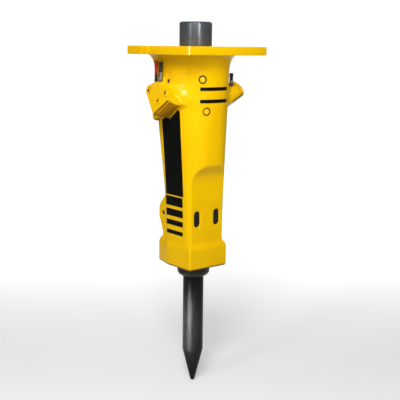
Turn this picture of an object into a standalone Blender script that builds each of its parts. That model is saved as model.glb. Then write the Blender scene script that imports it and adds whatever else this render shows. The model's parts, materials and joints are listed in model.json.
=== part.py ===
# Hydraulic breaker hammer, solid-body type with a top flange. Metres, +Z up.
# The origin is on the tool axis at the top face of the adapter flange. The tool points down,
# the retainer bars go in from the front (-Y), and the two hose bosses stand out at -X and +X.
import math

import bmesh
import bpy
from mathutils import Matrix, Vector

seat_gap = 0.0003  # between pieces that seat on each other
running_gap = 0.0004  # between a sliding piece and its guide
cutter_reach = 0.02  # how far a cutter runs past the face that it opens
round_sides = 32
hole_sides = 16
small_sides = 10
hole_margin = 0.002  # how much deeper a blind hole is than what goes in it
edge_ease = 0.001  # the small chamfer on caps, plugs and pins

# Adapter flange, cast in one with the body
flange_half_width = 0.151
flange_front = 0.154
flange_rear = 0.145
flange_thickness = 0.025
flange_corner = 0.004
flange_chamfer = 0.0015
hose_notch_width = 0.045
hose_notch_depth = 0.040
hose_notch_shift = 0.0505  # the left notch lies this far behind the axis, the right one before it
bolt_hole_radius = 0.013
bolt_inset = 0.033

# Body casting: a round neck that runs down into a squarer foot
neck_half_width = 0.102
neck_front = 0.102
neck_rear = 0.097
neck_front_round = 0.098
neck_rear_round = 0.040
neck_start = 0.050
foot_half_width = 0.0695
foot_front = 0.083
foot_rear = 0.057
foot_front_round = 0.044
foot_rear_round = 0.014
taper_ease = 1.2
root_fillet_width = 0.024
root_fillet_height = 0.044
recess_face = 0.0635
recess_runout = 0.102
recess_rise = 0.097  # from the bars' centre up to where the recess floor starts to run out

# Foot block that carries the lower bushing
block_half_width = 0.0745
block_front = 0.0745
block_rear = 0.109
block_straight = 0.040
block_turn = math.radians(14)
block_height = 0.0842
block_corner = 0.008
block_shoulder_rise = 0.016
block_shoulder_inset = 0.0125
block_chamfer = 0.004
shoulder_overlap = 0.010  # how far the waist runs down into the block

# Rear lobe that holds the tails of the retainer bars
lobe_half_width = 0.058
lobe_edge = 0.010
lobe_corners = (  # (Y, height over the bars' centre)
    (0.014, -0.082), (0.086, -0.082), (0.088, -0.060), (0.110, -0.015), (0.110, 0.022), (0.014, 0.142),
)
lobe_rounds = (0, 0, 0, 0.022, 0.030, 0)

# Hose bosses: each is given as seen on the left, and the right one is turned half round the axis
boss_tilt = math.radians(26)
boss_reach = 0.151
boss_drop = 0.150
boss_depth = 0.105
boss_flare = 0.010
boss_outlines = {
    "left": ((0.0179, -0.0497), (0.0623, 0.0005), (0.0435, 0.0245), (-0.029, 0.0515), (-0.0718, 0.0298)),
    "right": ((0.0275, -0.0388), (0.0623, 0.0005), (0.0435, 0.0245), (-0.029, 0.0515), (-0.0906, 0.0203)),
}
boss_rounds = {"left": (0.006, 0.009, 0.010, 0.012, 0.014), "right": (0.006, 0.009, 0.010, 0.012, 0.0235)}
knob_radius = 0.013
knob_place = (boss_reach - 0.018, 0.014, -0.206)
knob_stem = 0.040
boss_cover_thickness = 0.010
cover_chamfer = 0.0015
cover_screws = ((-0.047, 0.0215), (0.0364, 0.0176), (0.0155, -0.0081))
screw_radius = 0.005
screw_head_radius = 0.008
screw_head_height = 0.007
screw_length = 0.026
screw_sink = 0.001
socket_radius = 0.004
socket_depth = 0.0055
gallery_radius = 0.012
gallery_centre = (-0.028, 0.012)
gallery_depth = 0.062
gallery_margin = 0.010
passage_radius = 0.005

# Hose port adapters and test ports on top of each boss, as (distance from the axis, distance behind it)
adapter_places = {"left": (boss_reach - 0.0388, 0.025), "right": (boss_reach - 0.0388, 0.038)}
adapter_heights = {"left": 0.0375, "right": 0.0146}
adapter_cap_heights = {"left": 0.031, "right": 0.0235}
adapter_radius = 0.0075
adapter_stub = 0.014
adapter_cap_radius = 0.0060
test_port_places = {"left": (boss_reach - 0.0383, 0.0475), "right": (boss_reach - 0.0383, 0.012)}
test_port_heights = {"left": 0.040, "right": 0.0146}
test_cap_heights = {"left": 0.040, "right": 0.012}
test_port_radius = 0.0055
test_port_stub = 0.012
test_cap_radius = 0.0050
bleed_plug_place = (boss_reach - 0.047, -0.004)
bleed_plug_radius = 0.0058
bleed_plug_stub = 0.010
bleed_plug_height = 0.020
stub_step = 0.001  # a fitting's stub is this much slimmer than its body
spot_margin = 0.0015
spot_depth = 0.0015
spot_height = 0.012

# Plugged front ports, as (angle from the front towards the left, depth below the flange)
front_port_upper = (math.radians(26.4), 0.096)
front_port_lower = (math.radians(18.4), 0.1895)
front_port_radius = 0.0140
front_plug_radius = 0.0128
front_plug_seat = 0.016
front_plug_head = 0.007
front_drill_radius = 0.005
front_drill_depth = 0.012
front_socket_radius = 0.005
front_socket_depth = 0.0055
front_plug_sink = 0.0005

# Gas cap and the power cell below it
cap_radius = 0.0495
cap_height = 0.072
cap_bevel = 0.004
spigot_radius = 0.044
spigot_length = 0.060
gas_chamber_radius = 0.034
cap_roof = 0.022
charging_radius = 0.008
charging_sink = 0.003
carrier_length = 0.0614
piston_land_radius = 0.031
piston_rod_radius = 0.027
piston_waist_radius = 0.0285
piston_foot_radius = 0.029
piston_stroke = 0.058
land_length = 0.043
waist_length = 0.075
rod_length = 0.130
cylinder_relief = 0.0025
foot_bore_length = 0.0395
seal_width = 0.006
seal_height = 0.0045
piston_chamfer = 0.003

# Tool, its bushings and its retainer bars
tool_radius = 0.0325
tool_chamfer = 0.0055
tool_travel = 0.050
tool_reach = 0.3888
tool_tip_radius = 0.009
tool_point_slope = 0.20
ring_length = 0.0271
ring_bore_radius = 0.0305
ring_seat_margin = 0.0015
bush_wall = 0.0091
upper_bush_length = 0.073
bar_spacing = 0.038
bar_radius = 0.0112
bar_half_height = 0.0247
bar_clearance = 0.010
bar_setback = 0.0025
bar_tail = 0.0955
guide_gap = 0.043
lower_bush_length = 0.0899
lower_bush_wall = 0.0141
collar_radius = 0.051
collar_length = 0.017
collar_cone = 0.017
wiper_height = 0.006
wiper_lip = 0.003
lock_pin_radius = 0.0077
lock_pin_y = 0.084
lock_pin_length = 0.096
lock_plug_length = 0.005
bush_pin_radius = 0.007
bush_pin_grip = 0.004
bush_pin_length = 0.095
bush_pin_depth = 0.003
grease_radius = 0.005
grease_wall = 0.006  # between the lower bushing and the inner end of the nipple's hole
grease_recess = 0.001
grease_head = 0.008

# Control valve, in its own bore behind the piston
valve_y = 0.0685
sleeve_radius = 0.017
sleeve_floor = 0.012
sleeve_top = 0.046
spool_radius = 0.011
spool_waist = 0.0075
spool_length = 0.100
spool_travel = 0.009
valve_plug_length = 0.044

sleeve_length = sleeve_floor + spool_length + spool_travel + 2 * seat_gap

# Levels down the axis, each worked out from the piece above it
spigot_bottom = -spigot_length
carrier_top = spigot_bottom - seat_gap
carrier_bottom = carrier_top - carrier_length
cylinder_top = carrier_bottom - seat_gap
cylinder_bottom = cylinder_top - (2 * land_length + waist_length + piston_stroke + cylinder_relief)
land_bottom = cylinder_bottom + seat_gap
land_top = land_bottom + 2 * land_length + waist_length
piston_top = land_top + rod_length
ring_seat = cylinder_bottom - foot_bore_length
ring_top = ring_seat - seat_gap
ring_bottom = ring_top - ring_length
tool_shoulder_raised = ring_bottom + 0.0008
tool_top = tool_shoulder_raised + tool_chamfer - tool_travel
strike_face = tool_top + tool_travel + 0.0005
upper_bush_top = ring_bottom - seat_gap
upper_bush_bottom = upper_bush_top - upper_bush_length
bar_z = upper_bush_bottom - bar_clearance - bar_half_height
lower_bush_top = bar_z - bar_half_height - guide_gap
block_bottom = lower_bush_top - lower_bush_length
block_top = block_bottom + block_height
tool_tip = block_bottom - tool_reach
ring_bore = tool_radius + running_gap + bush_wall + seat_gap
lower_bore = tool_radius + running_gap + lower_bush_wall + seat_gap
chamber_roof = cap_height - cap_roof
bush_pin_y = lower_bore + bush_pin_radius - bush_pin_grip
bush_pin_z = (lower_bush_top + block_bottom) / 2
bush_pin_start = block_half_width - bush_pin_depth - bush_pin_length
boss_frame = Matrix.Translation((-boss_reach, 0, -boss_drop)) @ Matrix((
    (0, math.sin(boss_tilt), -math.cos(boss_tilt), 0),
    (-1, 0, 0, 0),
    (0, math.cos(boss_tilt), math.sin(boss_tilt), 0),
    (0, 0, 0, 1),
))
half_turn = Matrix.Rotation(math.pi, 4, "Z")
along_x = Matrix.Rotation(math.pi / 2, 4, "Y")

looks = {
    "yellow_paint": ((0.93, 0.56, 0.01), 0.30, 0.0),
    "grey_steel": ((0.10, 0.105, 0.11), 0.45, 0.8),
    "tool_steel": ((0.06, 0.06, 0.058), 0.42, 0.9),
    "ground_steel": ((0.55, 0.55, 0.56), 0.22, 1.0),
    "dark_steel": ((0.03, 0.032, 0.026), 0.5, 0.7),
    "zinc": ((0.62, 0.62, 0.60), 0.3, 1.0),
    "bronze": ((0.45, 0.25, 0.10), 0.35, 1.0),
    "black_plastic": ((0.015, 0.015, 0.016), 0.45, 0.0),
    "red_plastic": ((0.55, 0.01, 0.01), 0.4, 0.0),
    "rubber": ((0.02, 0.02, 0.02), 0.75, 0.0),
}


def clear_scene():
    for item in list(bpy.data.objects):
        bpy.data.objects.remove(item, do_unlink=True)


def material(look):
    if look in bpy.data.materials:
        return bpy.data.materials[look]
    made = bpy.data.materials.new(look)
    made.use_nodes = True
    colour, roughness, metallic = looks[look]
    shader = made.node_tree.nodes["Principled BSDF"]
    shader.inputs["Base Color"].default_value = (*colour, 1)
    shader.inputs["Roughness"].default_value = roughness
    shader.inputs["Metallic"].default_value = metallic
    return made


def add_object(name, bm, look=None, place=None):
    """An object from bm; without a look it is a hidden cutter or joining shape."""
    bmesh.ops.recalc_face_normals(bm, faces=bm.faces)
    mesh = bpy.data.meshes.new(name)
    bm.to_mesh(mesh)
    bm.free()
    made = bpy.data.objects.new(name, mesh)
    bpy.context.scene.collection.objects.link(made)
    if place is not None:
        made.matrix_world = place
    if look is None:
        made.hide_render = True
        made.display_type = "WIRE"
    else:
        mesh.materials.append(material(look))
        mesh.shade_smooth()
        mesh.set_sharp_from_angle(angle=math.radians(30))
    return made


def combine(base, other, operation):
    step = base.modifiers.new(other.name, "BOOLEAN")
    step.operation = operation
    step.solver = "EXACT"
    step.object = other


def cut(base, *cutters):
    for cutter in cutters:
        combine(base, cutter, "DIFFERENCE")


def fuse(base, *others):
    for other in others:
        combine(base, other, "UNION")


def loft(name, rings, look=None, place=None):
    """A closed solid through rings with the same number of points."""
    bm = bmesh.new()
    loops = [[bm.verts.new(point) for point in ring] for ring in rings]
    for low, high in zip(loops, loops[1:]):
        for i in range(len(low)):
            j = (i + 1) % len(low)
            bm.faces.new((low[i], low[j], high[j], high[i]))
    bm.faces.new(loops[0])
    bm.faces.new(loops[-1])
    return add_object(name, bm, look, place)


def turn(name, profile, look=None, place=None, sides=round_sides):
    """A turned solid: profile is a closed list of (radius, height), with two on the axis if it is solid."""
    bm = bmesh.new()
    loops = []
    for radius, height in profile:
        if radius == 0:
            loops.append([bm.verts.new((0, 0, height))])
            continue
        angles = [math.tau * i / sides for i in range(sides)]
        loops.append([bm.verts.new((radius * math.cos(a), radius * math.sin(a), height)) for a in angles])
    for here, there in zip(loops, loops[1:] + loops[:1]):
        if len(here) == 1 and len(there) == 1:
            continue
        for i in range(sides):
            j = (i + 1) % sides
            corners = (here[i % len(here)], here[j % len(here)], there[j % len(there)], there[i % len(there)])
            bm.faces.new(list(dict.fromkeys(corners)))
    return add_object(name, bm, look, place)


def rod(name, radius, bottom, top, look=None, place=None, sides=hole_sides, chamfer=0.0):
    if not chamfer:
        profile = [(0, top), (radius, top), (radius, bottom), (0, bottom)]
    else:
        profile = [(0, top), (radius - chamfer, top), (radius, top - chamfer)]
        profile += [(radius, bottom + chamfer), (radius - chamfer, bottom), (0, bottom)]
    return turn(name, profile, look, place, sides)


def arc(centre, radius, start, end, steps):
    angles = [start + (end - start) * i / steps for i in range(steps + 1)]
    return [(centre[0] + radius * math.cos(a), centre[1] + radius * math.sin(a)) for a in angles]


def rounded_outline(corners, radii, steps=3):
    """The outline through corners, anticlockwise, with each corner rounded by its radius."""
    outline = []
    for i, (corner, radius) in enumerate(zip(corners, radii)):
        if radius == 0:
            outline.append(corner)
            continue
        here = Vector(corner)
        back = (Vector(corners[i - 1]) - here).normalized()
        ahead = (Vector(corners[(i + 1) % len(corners)]) - here).normalized()
        half = back.angle(ahead) / 2
        centre = here + (back + ahead).normalized() * (radius / math.sin(half))
        first = here + back * (radius / math.tan(half)) - centre
        sweep = math.pi - 2 * half
        for step in range(steps + 1):
            turned = Matrix.Rotation(sweep * step / steps, 2) @ first
            outline.append(tuple(centre + turned))
    return outline


def grown(outline, distance):
    """The outline moved outwards by distance along the bisectors of its sides."""
    result = []
    for i, point in enumerate(outline):
        here = Vector(point)
        back = (here - Vector(outline[i - 1])).normalized()
        ahead = (Vector(outline[(i + 1) % len(outline)]) - here).normalized()
        outward = Vector((back.y + ahead.y, -back.x - ahead.x)).normalized()
        lean = max(0.5, outward.dot(Vector((ahead.y, -ahead.x))))
        result.append(tuple(here + outward * (distance / lean)))
    return result


def at_height(outline, z):
    return [(x, y, z) for x, y in outline]


def prism(name, outline, bottom, top, look=None, place=None, chamfer=0.0):
    if not chamfer:
        return loft(name, [at_height(outline, bottom), at_height(outline, top)], look, place)
    inner = grown(outline, -chamfer)
    rings = [at_height(inner, bottom), at_height(outline, bottom + chamfer)]
    rings += [at_height(outline, top - chamfer), at_height(inner, top)]
    return loft(name, rings, look, place)


def slot_outline(radius, half_height, steps=6):
    """An upright slot outline with round ends, centred on the origin."""
    straight = half_height - radius
    upper = arc((0, straight), radius, 0, math.pi, steps)
    return upper + arc((0, -straight), radius, math.pi, math.tau, steps)


# Local Z of what is made with this placement points to -Y, and local Y points up.
def facing_front(x, y, z):
    return Matrix.Translation((x, y, z)) @ Matrix.Rotation(math.pi / 2, 4, "X")


def body_section(z):
    """The casting's outline at z: round in front, squarer behind."""
    along = min(1.0, max(0.0, (-z - neck_start) / (-block_top - neck_start)))
    left = (1 - along) ** 2 * (1 + taper_ease * along)

    def between(neck, foot):
        return foot + (neck - foot) * left

    half_width = between(neck_half_width, foot_half_width)
    front = between(neck_front, foot_front)
    rear = between(neck_rear, foot_rear)
    front_round = between(neck_front_round, foot_front_round)
    rear_round = foot_rear_round + (neck_rear_round - foot_rear_round) * left * left
    outline = arc((-half_width + front_round, -front + front_round), front_round, math.pi, 1.5 * math.pi, 7)
    outline += arc((half_width - front_round, -front + front_round), front_round, 1.5 * math.pi, math.tau, 7)
    outline += arc((half_width - rear_round, rear - rear_round), rear_round, 0, math.pi / 2, 4)
    outline += arc((-half_width + rear_round, rear - rear_round), rear_round, math.pi / 2, math.pi, 4)
    return outline


def casting_shell():
    """The neck and waist, with the fillet under the flange."""
    top = -flange_thickness - seat_gap
    rings = []
    for angle in (90, 72, 54, 36, 18):
        sweep = math.radians(angle)
        z = top - root_fillet_height * (1 - math.sin(sweep))
        rings.append(at_height(grown(body_section(z), root_fillet_width * (1 - math.cos(sweep))), z))
    start = top - root_fillet_height
    levels = 9
    for i in range(levels + 1):
        z = start + (block_top - shoulder_overlap - start) * i / levels
        rings.append(at_height(body_section(z), z))
    return loft("breaker_body", rings, "yellow_paint")


def recess_cutter():
    """Everything in front of the flat face, with a floor that runs out upwards on a large radius."""
    far = flange_front
    start = bar_z + recess_rise
    side = [(recess_face, block_bottom - cutter_reach), (recess_face, start)]
    for angle in range(6, 61, 6):
        sweep = math.radians(angle)
        out = recess_face + recess_runout * (1 - math.cos(sweep))
        side.append((out, start + recess_runout * math.sin(sweep)))
    side += [(far, side[-1][1]), (far, block_bottom - cutter_reach)]
    rings = [[(x, -y, z) for y, z in side] for x in (-flange_half_width, flange_half_width)]
    return loft("recess_cutter", rings)


def bolt_places():
    for x in (-flange_half_width + bolt_inset, flange_half_width - bolt_inset):
        for y in (-flange_front + bolt_inset, flange_rear - bolt_inset):
            yield x, y


def flange_cutters():
    made = []
    bottom = -2 * flange_thickness
    for number, (x, y) in enumerate(bolt_places()):
        place = Matrix.Translation((x, y, 0))
        made.append(rod(f"bolt_hole_cutter_{number}", bolt_hole_radius, bottom, cutter_reach, place=place))
    radius = hose_notch_width / 2
    outline = arc((hose_notch_depth - radius, 0), radius, -math.pi / 2, math.pi / 2, 10)
    outline += [(-cutter_reach, radius), (-cutter_reach, -radius)]
    for side, spin in (("left", Matrix()), ("right", half_turn)):
        place = spin @ Matrix.Translation((-flange_half_width, hose_notch_shift, 0))
        made.append(prism(f"hose_notch_cutter_{side}", outline, bottom, cutter_reach, place=place))
    return made


def adapter_flange(cutters):
    """The plate that bolts to the carrier's bracket, with its notches for the hoses."""
    corners = ((-flange_half_width, -flange_front), (flange_half_width, -flange_front))
    corners += ((flange_half_width, flange_rear), (-flange_half_width, flange_rear))
    outline = rounded_outline(corners, [flange_corner] * 4)
    plate = prism("adapter_flange", outline, -flange_thickness, 0, "yellow_paint", chamfer=flange_chamfer)
    cut(plate, *cutters)


def block_outline(inset):
    """The foot block's outline, narrower behind, moved in by inset."""
    tail = block_half_width - (block_rear - block_straight) * math.tan(block_turn)
    half = [(block_half_width, -block_front), (block_half_width, block_straight), (tail, block_rear)]
    corners = grown(half + [(-x, y) for x, y in reversed(half)], -inset)
    tight = max(block_corner - inset, block_corner / 4)
    return rounded_outline(corners, [tight, block_corner, tight, tight, block_corner, tight])


def foot_block():
    rings = [at_height(block_outline(block_chamfer), block_bottom)]
    rings.append(at_height(block_outline(0), block_bottom + block_chamfer))
    shoulder = block_top - block_shoulder_rise
    for share, lift in ((0, 0), (0.12, 0.35), (0.5, 0.75), (1, 1)):
        outline = block_outline(block_shoulder_inset * share)
        rings.append(at_height(outline, shoulder + block_shoulder_rise * lift))
    return loft("foot_block", rings)


def rear_lobe():
    """A hump behind the bars, run across the body with eased edges."""
    outline = rounded_outline(lobe_corners, lobe_rounds, 5)
    ease = 0.3 * lobe_edge
    half = [(lobe_half_width, lobe_edge), (lobe_half_width - ease, ease), (lobe_half_width - lobe_edge, 0)]
    rings = []
    for x, inset in [(-x, inset) for x, inset in half] + half[::-1]:
        rings.append([(x, y, bar_z + z) for y, z in grown(outline, -inset)])
    return loft("rear_lobe", rings)


def boss_shape(side, spin):
    """A hose boss from its cover face into the casting, widening where it meets the neck."""
    outline = rounded_outline(boss_outlines[side], boss_rounds[side])
    face = -boss_cover_thickness - seat_gap
    root = boss_reach - neck_half_width
    rings = [at_height(outline, face)]
    for share in (0.0, 0.35, 0.7, 1.0):
        depth = face - root * (0.45 + 0.65 * share)
        rings.append(at_height(grown(outline, boss_flare * share * share), depth))
    rings.append(at_height(grown(outline, boss_flare), -boss_depth))
    return loft(f"hose_boss_{side}", rings, place=spin @ boss_frame)


def boss_point(u, v, w):
    return boss_frame @ Vector((u, v, w))


def boss_cutters(side, spin):
    """The oil gallery, the cover's screw holes, and the holes and free space of the fittings on top."""
    face = -boss_cover_thickness - seat_gap
    here = spin @ boss_frame
    middle = here @ Matrix.Translation((*gallery_centre, 0))
    made = [rod(f"gallery_cutter_{side}", gallery_radius, face - gallery_depth, cutter_reach, place=middle)]
    for number, (u, v) in enumerate(cover_screws):
        place = here @ Matrix.Translation((u, v, 0))
        end = -screw_length - hole_margin
        made.append(rod(f"screw_hole_cutter_{side}_{number}", screw_radius + seat_gap, end, cutter_reach,
                        place=place, sides=small_sides))
    adapter_reach = adapter_heights[side] + adapter_cap_heights[side]
    test_port_reach = test_port_heights[side] + test_cap_heights[side]
    for label, (out, behind), radius, stub, height in (
        ("adapter", adapter_places[side], adapter_radius, adapter_stub + gallery_margin, adapter_reach),
        ("test_port", test_port_places[side], test_port_radius, test_port_stub + hole_margin, test_port_reach),
        ("bleed", bleed_plug_place, bleed_plug_radius, bleed_plug_stub, bleed_plug_height),
    ):
        level = boss_top_level(side, (out, behind)) - spot_depth
        bore = radius - stub_step
        spot = radius + spot_margin
        free = radius + running_gap
        end = level + height + hole_margin
        profile = [(0, end), (free, end), (free, level + spot_height), (spot, level + spot_height)]
        profile += [(spot, level), (bore, level), (bore, level - stub), (0, level - stub)]
        place = spin @ Matrix.Translation((-out, behind, 0))
        made.append(turn(f"{label}_hole_cutter_{side}", profile, place=place, sides=small_sides))
    return made


def boss_top_level(side, place):
    """The height of the boss's upper edge over this place, which the fittings stand on."""
    out, behind = place
    (near_u, near_v), (crest_u, crest_v), (far_u, far_v) = boss_outlines[side][2:]
    if -behind > crest_u:
        share = (near_u + behind) / (near_u - crest_u)
        v = near_v + (crest_v - near_v) * share
    else:
        share = (crest_u + behind) / (crest_u - far_u)
        v = crest_v + (far_v - crest_v) * share
    w = (boss_reach - out - v * math.sin(boss_tilt)) / math.cos(boss_tilt)
    return -boss_drop + v * math.cos(boss_tilt) - w * math.sin(boss_tilt)


def fitting_place(side, place, spin):
    out, behind = place
    return spin @ Matrix.Translation((-out, behind, boss_top_level(side, place) - spot_depth))


def boss_knob():
    """A round knob that hangs under the rear of the left boss."""
    x, y, z = knob_place
    profile = [(0, knob_stem), (knob_radius, knob_stem)]
    profile += arc((0, 0), knob_radius, 0, -math.pi / 2, 4)[:-1] + [(0, -knob_radius)]
    return turn("boss_knob", profile, place=Matrix.Translation((-x, y, z)), sides=hole_sides)


def port_place(port):
    """Local +Z points out of the neck along the port's axis."""
    angle, depth = port
    turned = Matrix.Rotation(-angle, 4, "Z") @ Matrix.Rotation(math.pi / 2, 4, "X")
    return Matrix.Translation((0, 0, -depth)) @ turned


def port_face(port):
    """How far the neck's surface lies from the axis at the port."""
    angle, depth = port
    outline = body_section(-depth)
    return max(x * -math.sin(angle) + y * -math.cos(angle) for x, y in outline)


def front_port_cutter(name, port):
    face = port_face(port)
    seat = face - front_plug_seat
    outside = face + cutter_reach
    end = seat - front_drill_depth
    profile = [(0, outside), (front_port_radius, outside), (front_port_radius, seat)]
    profile += [(front_drill_radius, seat), (front_drill_radius, end), (0, end)]
    return turn(name, profile, place=port_place(port), sides=hole_sides)


def bore_cutter():
    """The stepped bore down the whole body."""
    foot_bore = piston_foot_radius + running_gap
    groove = cylinder_bottom - foot_bore_length / 2
    land_bore = piston_land_radius + running_gap
    spigot_bore = spigot_radius + seat_gap
    profile = [(0, cutter_reach), (spigot_bore, cutter_reach), (spigot_bore, cylinder_top)]
    profile += [(land_bore, cylinder_top), (land_bore, cylinder_bottom), (foot_bore, cylinder_bottom)]
    profile += [(foot_bore, groove + seal_width / 2 + seat_gap)]
    profile += [(foot_bore + seal_height, groove + seal_width / 2 + seat_gap)]
    profile += [(foot_bore + seal_height, groove - seal_width / 2 - seat_gap)]
    profile += [(foot_bore, groove - seal_width / 2 - seat_gap), (foot_bore, ring_seat)]
    profile += [(ring_bore, ring_seat), (ring_bore, lower_bush_top + seat_gap)]
    profile += [(lower_bore, lower_bush_top + seat_gap)]
    profile += [(lower_bore, block_bottom - cutter_reach), (0, block_bottom - cutter_reach)]
    return turn("bore_cutter", profile)


def bar_shape(name, side, growth, front, rear, look=None):
    """An upright bar run along Y at the given side of the tool."""
    outline = slot_outline(bar_radius + growth, bar_half_height + growth)
    return prism(name, outline, -rear, front, look, facing_front(side * bar_spacing, 0, bar_z))


def cross_rod(name, radius, start, end, y, z, look=None, sides=hole_sides, chamfer=0.0):
    place = Matrix.Translation((0, y, z)) @ along_x
    return rod(name, radius, start, end, look, place, sides, chamfer)


def valve_cutter():
    radius = sleeve_radius + seat_gap
    bottom = -sleeve_top - sleeve_length - seat_gap
    here = Matrix.Translation((0, valve_y, 0))
    return rod("valve_cutter", radius, bottom, cutter_reach, place=here, sides=round_sides)


def passage_cutter(side, spin):
    """From a boss's gallery to the valve's bore."""
    start = spin @ boss_point(*gallery_centre, -boss_cover_thickness - gallery_depth + passage_radius)
    end = Vector((math.copysign(sleeve_radius * 0.5, start.x), valve_y - sleeve_radius * 0.5, start.z))
    run = end - start
    place = Matrix.Translation(start) @ run.to_track_quat("Z", "Y").to_matrix().to_4x4()
    return rod(f"passage_cutter_{side}", passage_radius, 0, run.length, place=place, sides=small_sides)


def breaker_body():
    """The casting and, on top of it, the adapter flange, with the bores and notches that go through both."""
    body = casting_shell()
    cut(body, recess_cutter())
    fuse(body, foot_block(), rear_lobe())
    for side, spin in (("left", Matrix()), ("right", half_turn)):
        fuse(body, boss_shape(side, spin))
    fuse(body, boss_knob())
    shared = [bore_cutter(), valve_cutter(), *flange_cutters()]
    cut(body, *shared)
    adapter_flange(shared)
    for side, spin in (("left", Matrix()), ("right", half_turn)):
        cut(body, *boss_cutters(side, spin), passage_cutter(side, spin))
    cut(body, front_port_cutter("upper_port_cutter", front_port_upper))
    cut(body, front_port_cutter("lower_port_cutter", front_port_lower))
    for name, side in (("left", -1), ("right", 1)):
        front = block_front + cutter_reach
        cut(body, bar_shape(f"bar_cutter_{name}", side, seat_gap, front, bar_tail + seat_gap))
    reach = lobe_half_width + cutter_reach
    cut(body, cross_rod("lock_pin_cutter", lock_pin_radius + seat_gap, -reach, reach, lock_pin_y, bar_z))
    outside = block_half_width + cutter_reach
    radius = bush_pin_radius + seat_gap
    cut(body, cross_rod("bush_pin_cutter", radius, bush_pin_start - seat_gap, outside, bush_pin_y, bush_pin_z))
    radius = grease_radius + seat_gap
    cut(body, cross_rod("grease_cutter", radius, 0, outside, 0, bush_pin_z, sides=small_sides))


def gas_cap():
    """The cup that closes the gas chamber, with a spigot that goes down into the body."""
    profile = [(charging_radius + seat_gap, cap_height), (cap_radius - cap_bevel, cap_height)]
    profile += [(cap_radius, cap_height - cap_bevel), (cap_radius, seat_gap), (spigot_radius, seat_gap)]
    profile += [(spigot_radius, spigot_bottom), (gas_chamber_radius, spigot_bottom)]
    profile += [(gas_chamber_radius, chamber_roof), (charging_radius + seat_gap, chamber_roof)]
    turn("gas_cap", profile, "grey_steel")
    top = cap_height - charging_sink
    bottom = chamber_roof + charging_sink
    rod("charging_valve", charging_radius, bottom, top, "zinc", sides=round_sides)


def seal_carrier():
    """The guide of the piston's rod, with a groove for each gas seal."""
    bore = piston_rod_radius + running_gap
    profile = [(bore, carrier_top), (spigot_radius, carrier_top), (spigot_radius, carrier_bottom)]
    profile += [(bore, carrier_bottom)]
    for share, name in ((0.72, "oil_seal"), (0.28, "gas_seal")):
        middle = carrier_top - carrier_length * share
        half = seal_width / 2
        profile += [(bore, middle - half - seat_gap), (bore + seal_height, middle - half - seat_gap)]
        profile += [(bore + seal_height, middle + half + seat_gap), (bore, middle + half + seat_gap)]
        seal_ring(name, bore, middle)
    turn("seal_carrier", profile, "ground_steel")


def seal_ring(name, bore, middle):
    half = seal_width / 2
    outer = bore + seal_height - seat_gap
    profile = [(bore, middle + half), (outer, middle + half), (outer, middle - half), (bore, middle - half)]
    turn(name, profile, "rubber")


def piston():
    """It is stored at its lower stop, with its lower land on the step of the cylinder."""
    profile = [(0, piston_top), (piston_rod_radius - piston_chamfer, piston_top)]
    profile += [(piston_rod_radius, piston_top - piston_chamfer), (piston_rod_radius, land_top)]
    profile += [(piston_land_radius, land_top), (piston_land_radius, land_top - land_length)]
    profile += [(piston_waist_radius, land_top - land_length)]
    profile += [(piston_waist_radius, land_bottom + land_length)]
    profile += [(piston_land_radius, land_bottom + land_length), (piston_land_radius, land_bottom)]
    profile += [(piston_foot_radius, land_bottom), (piston_foot_radius, strike_face + piston_chamfer)]
    profile += [(piston_foot_radius - piston_chamfer, strike_face), (0, strike_face)]
    turn("piston", profile, "ground_steel")
    seal_ring("piston_seal", piston_foot_radius + running_gap, cylinder_bottom - foot_bore_length / 2)


def control_valve():
    """A sleeve in the rear bore, the spool that slides in it, and the plug that closes the bore."""
    here = Matrix.Translation((0, valve_y, 0))
    top = -sleeve_top
    bottom = top - sleeve_length
    floor = bottom + sleeve_floor
    bore = spool_radius + running_gap
    profile = [(bore, top), (sleeve_radius, top), (sleeve_radius, bottom)]
    profile += [(0, bottom), (0, floor), (bore, floor)]
    sleeve = turn("valve_sleeve", profile, "ground_steel", here)
    for number in range(2):
        level = floor + spool_length * (0.3 + 0.4 * number)
        place = here @ Matrix.Translation((0, 0, level)) @ along_x
        reach = sleeve_radius + cutter_reach
        name = f"valve_window_cutter_{number}"
        cut(sleeve, rod(name, passage_radius, -reach, reach, place=place, sides=small_sides))
    low = floor + seat_gap
    land = spool_length / 5
    profile = [(0, low + spool_length)]
    for number in range(5):
        radius = spool_radius if number % 2 == 0 else spool_waist
        start = low + spool_length - number * land
        profile += [(radius, start), (radius, start - land)]
    profile += [(0, low)]
    turn("valve_spool", profile, "ground_steel", here, hole_sides)
    start = top + seat_gap
    rod("valve_plug", sleeve_radius, start, start + valve_plug_length, "zinc", here, round_sides, edge_ease)


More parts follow.
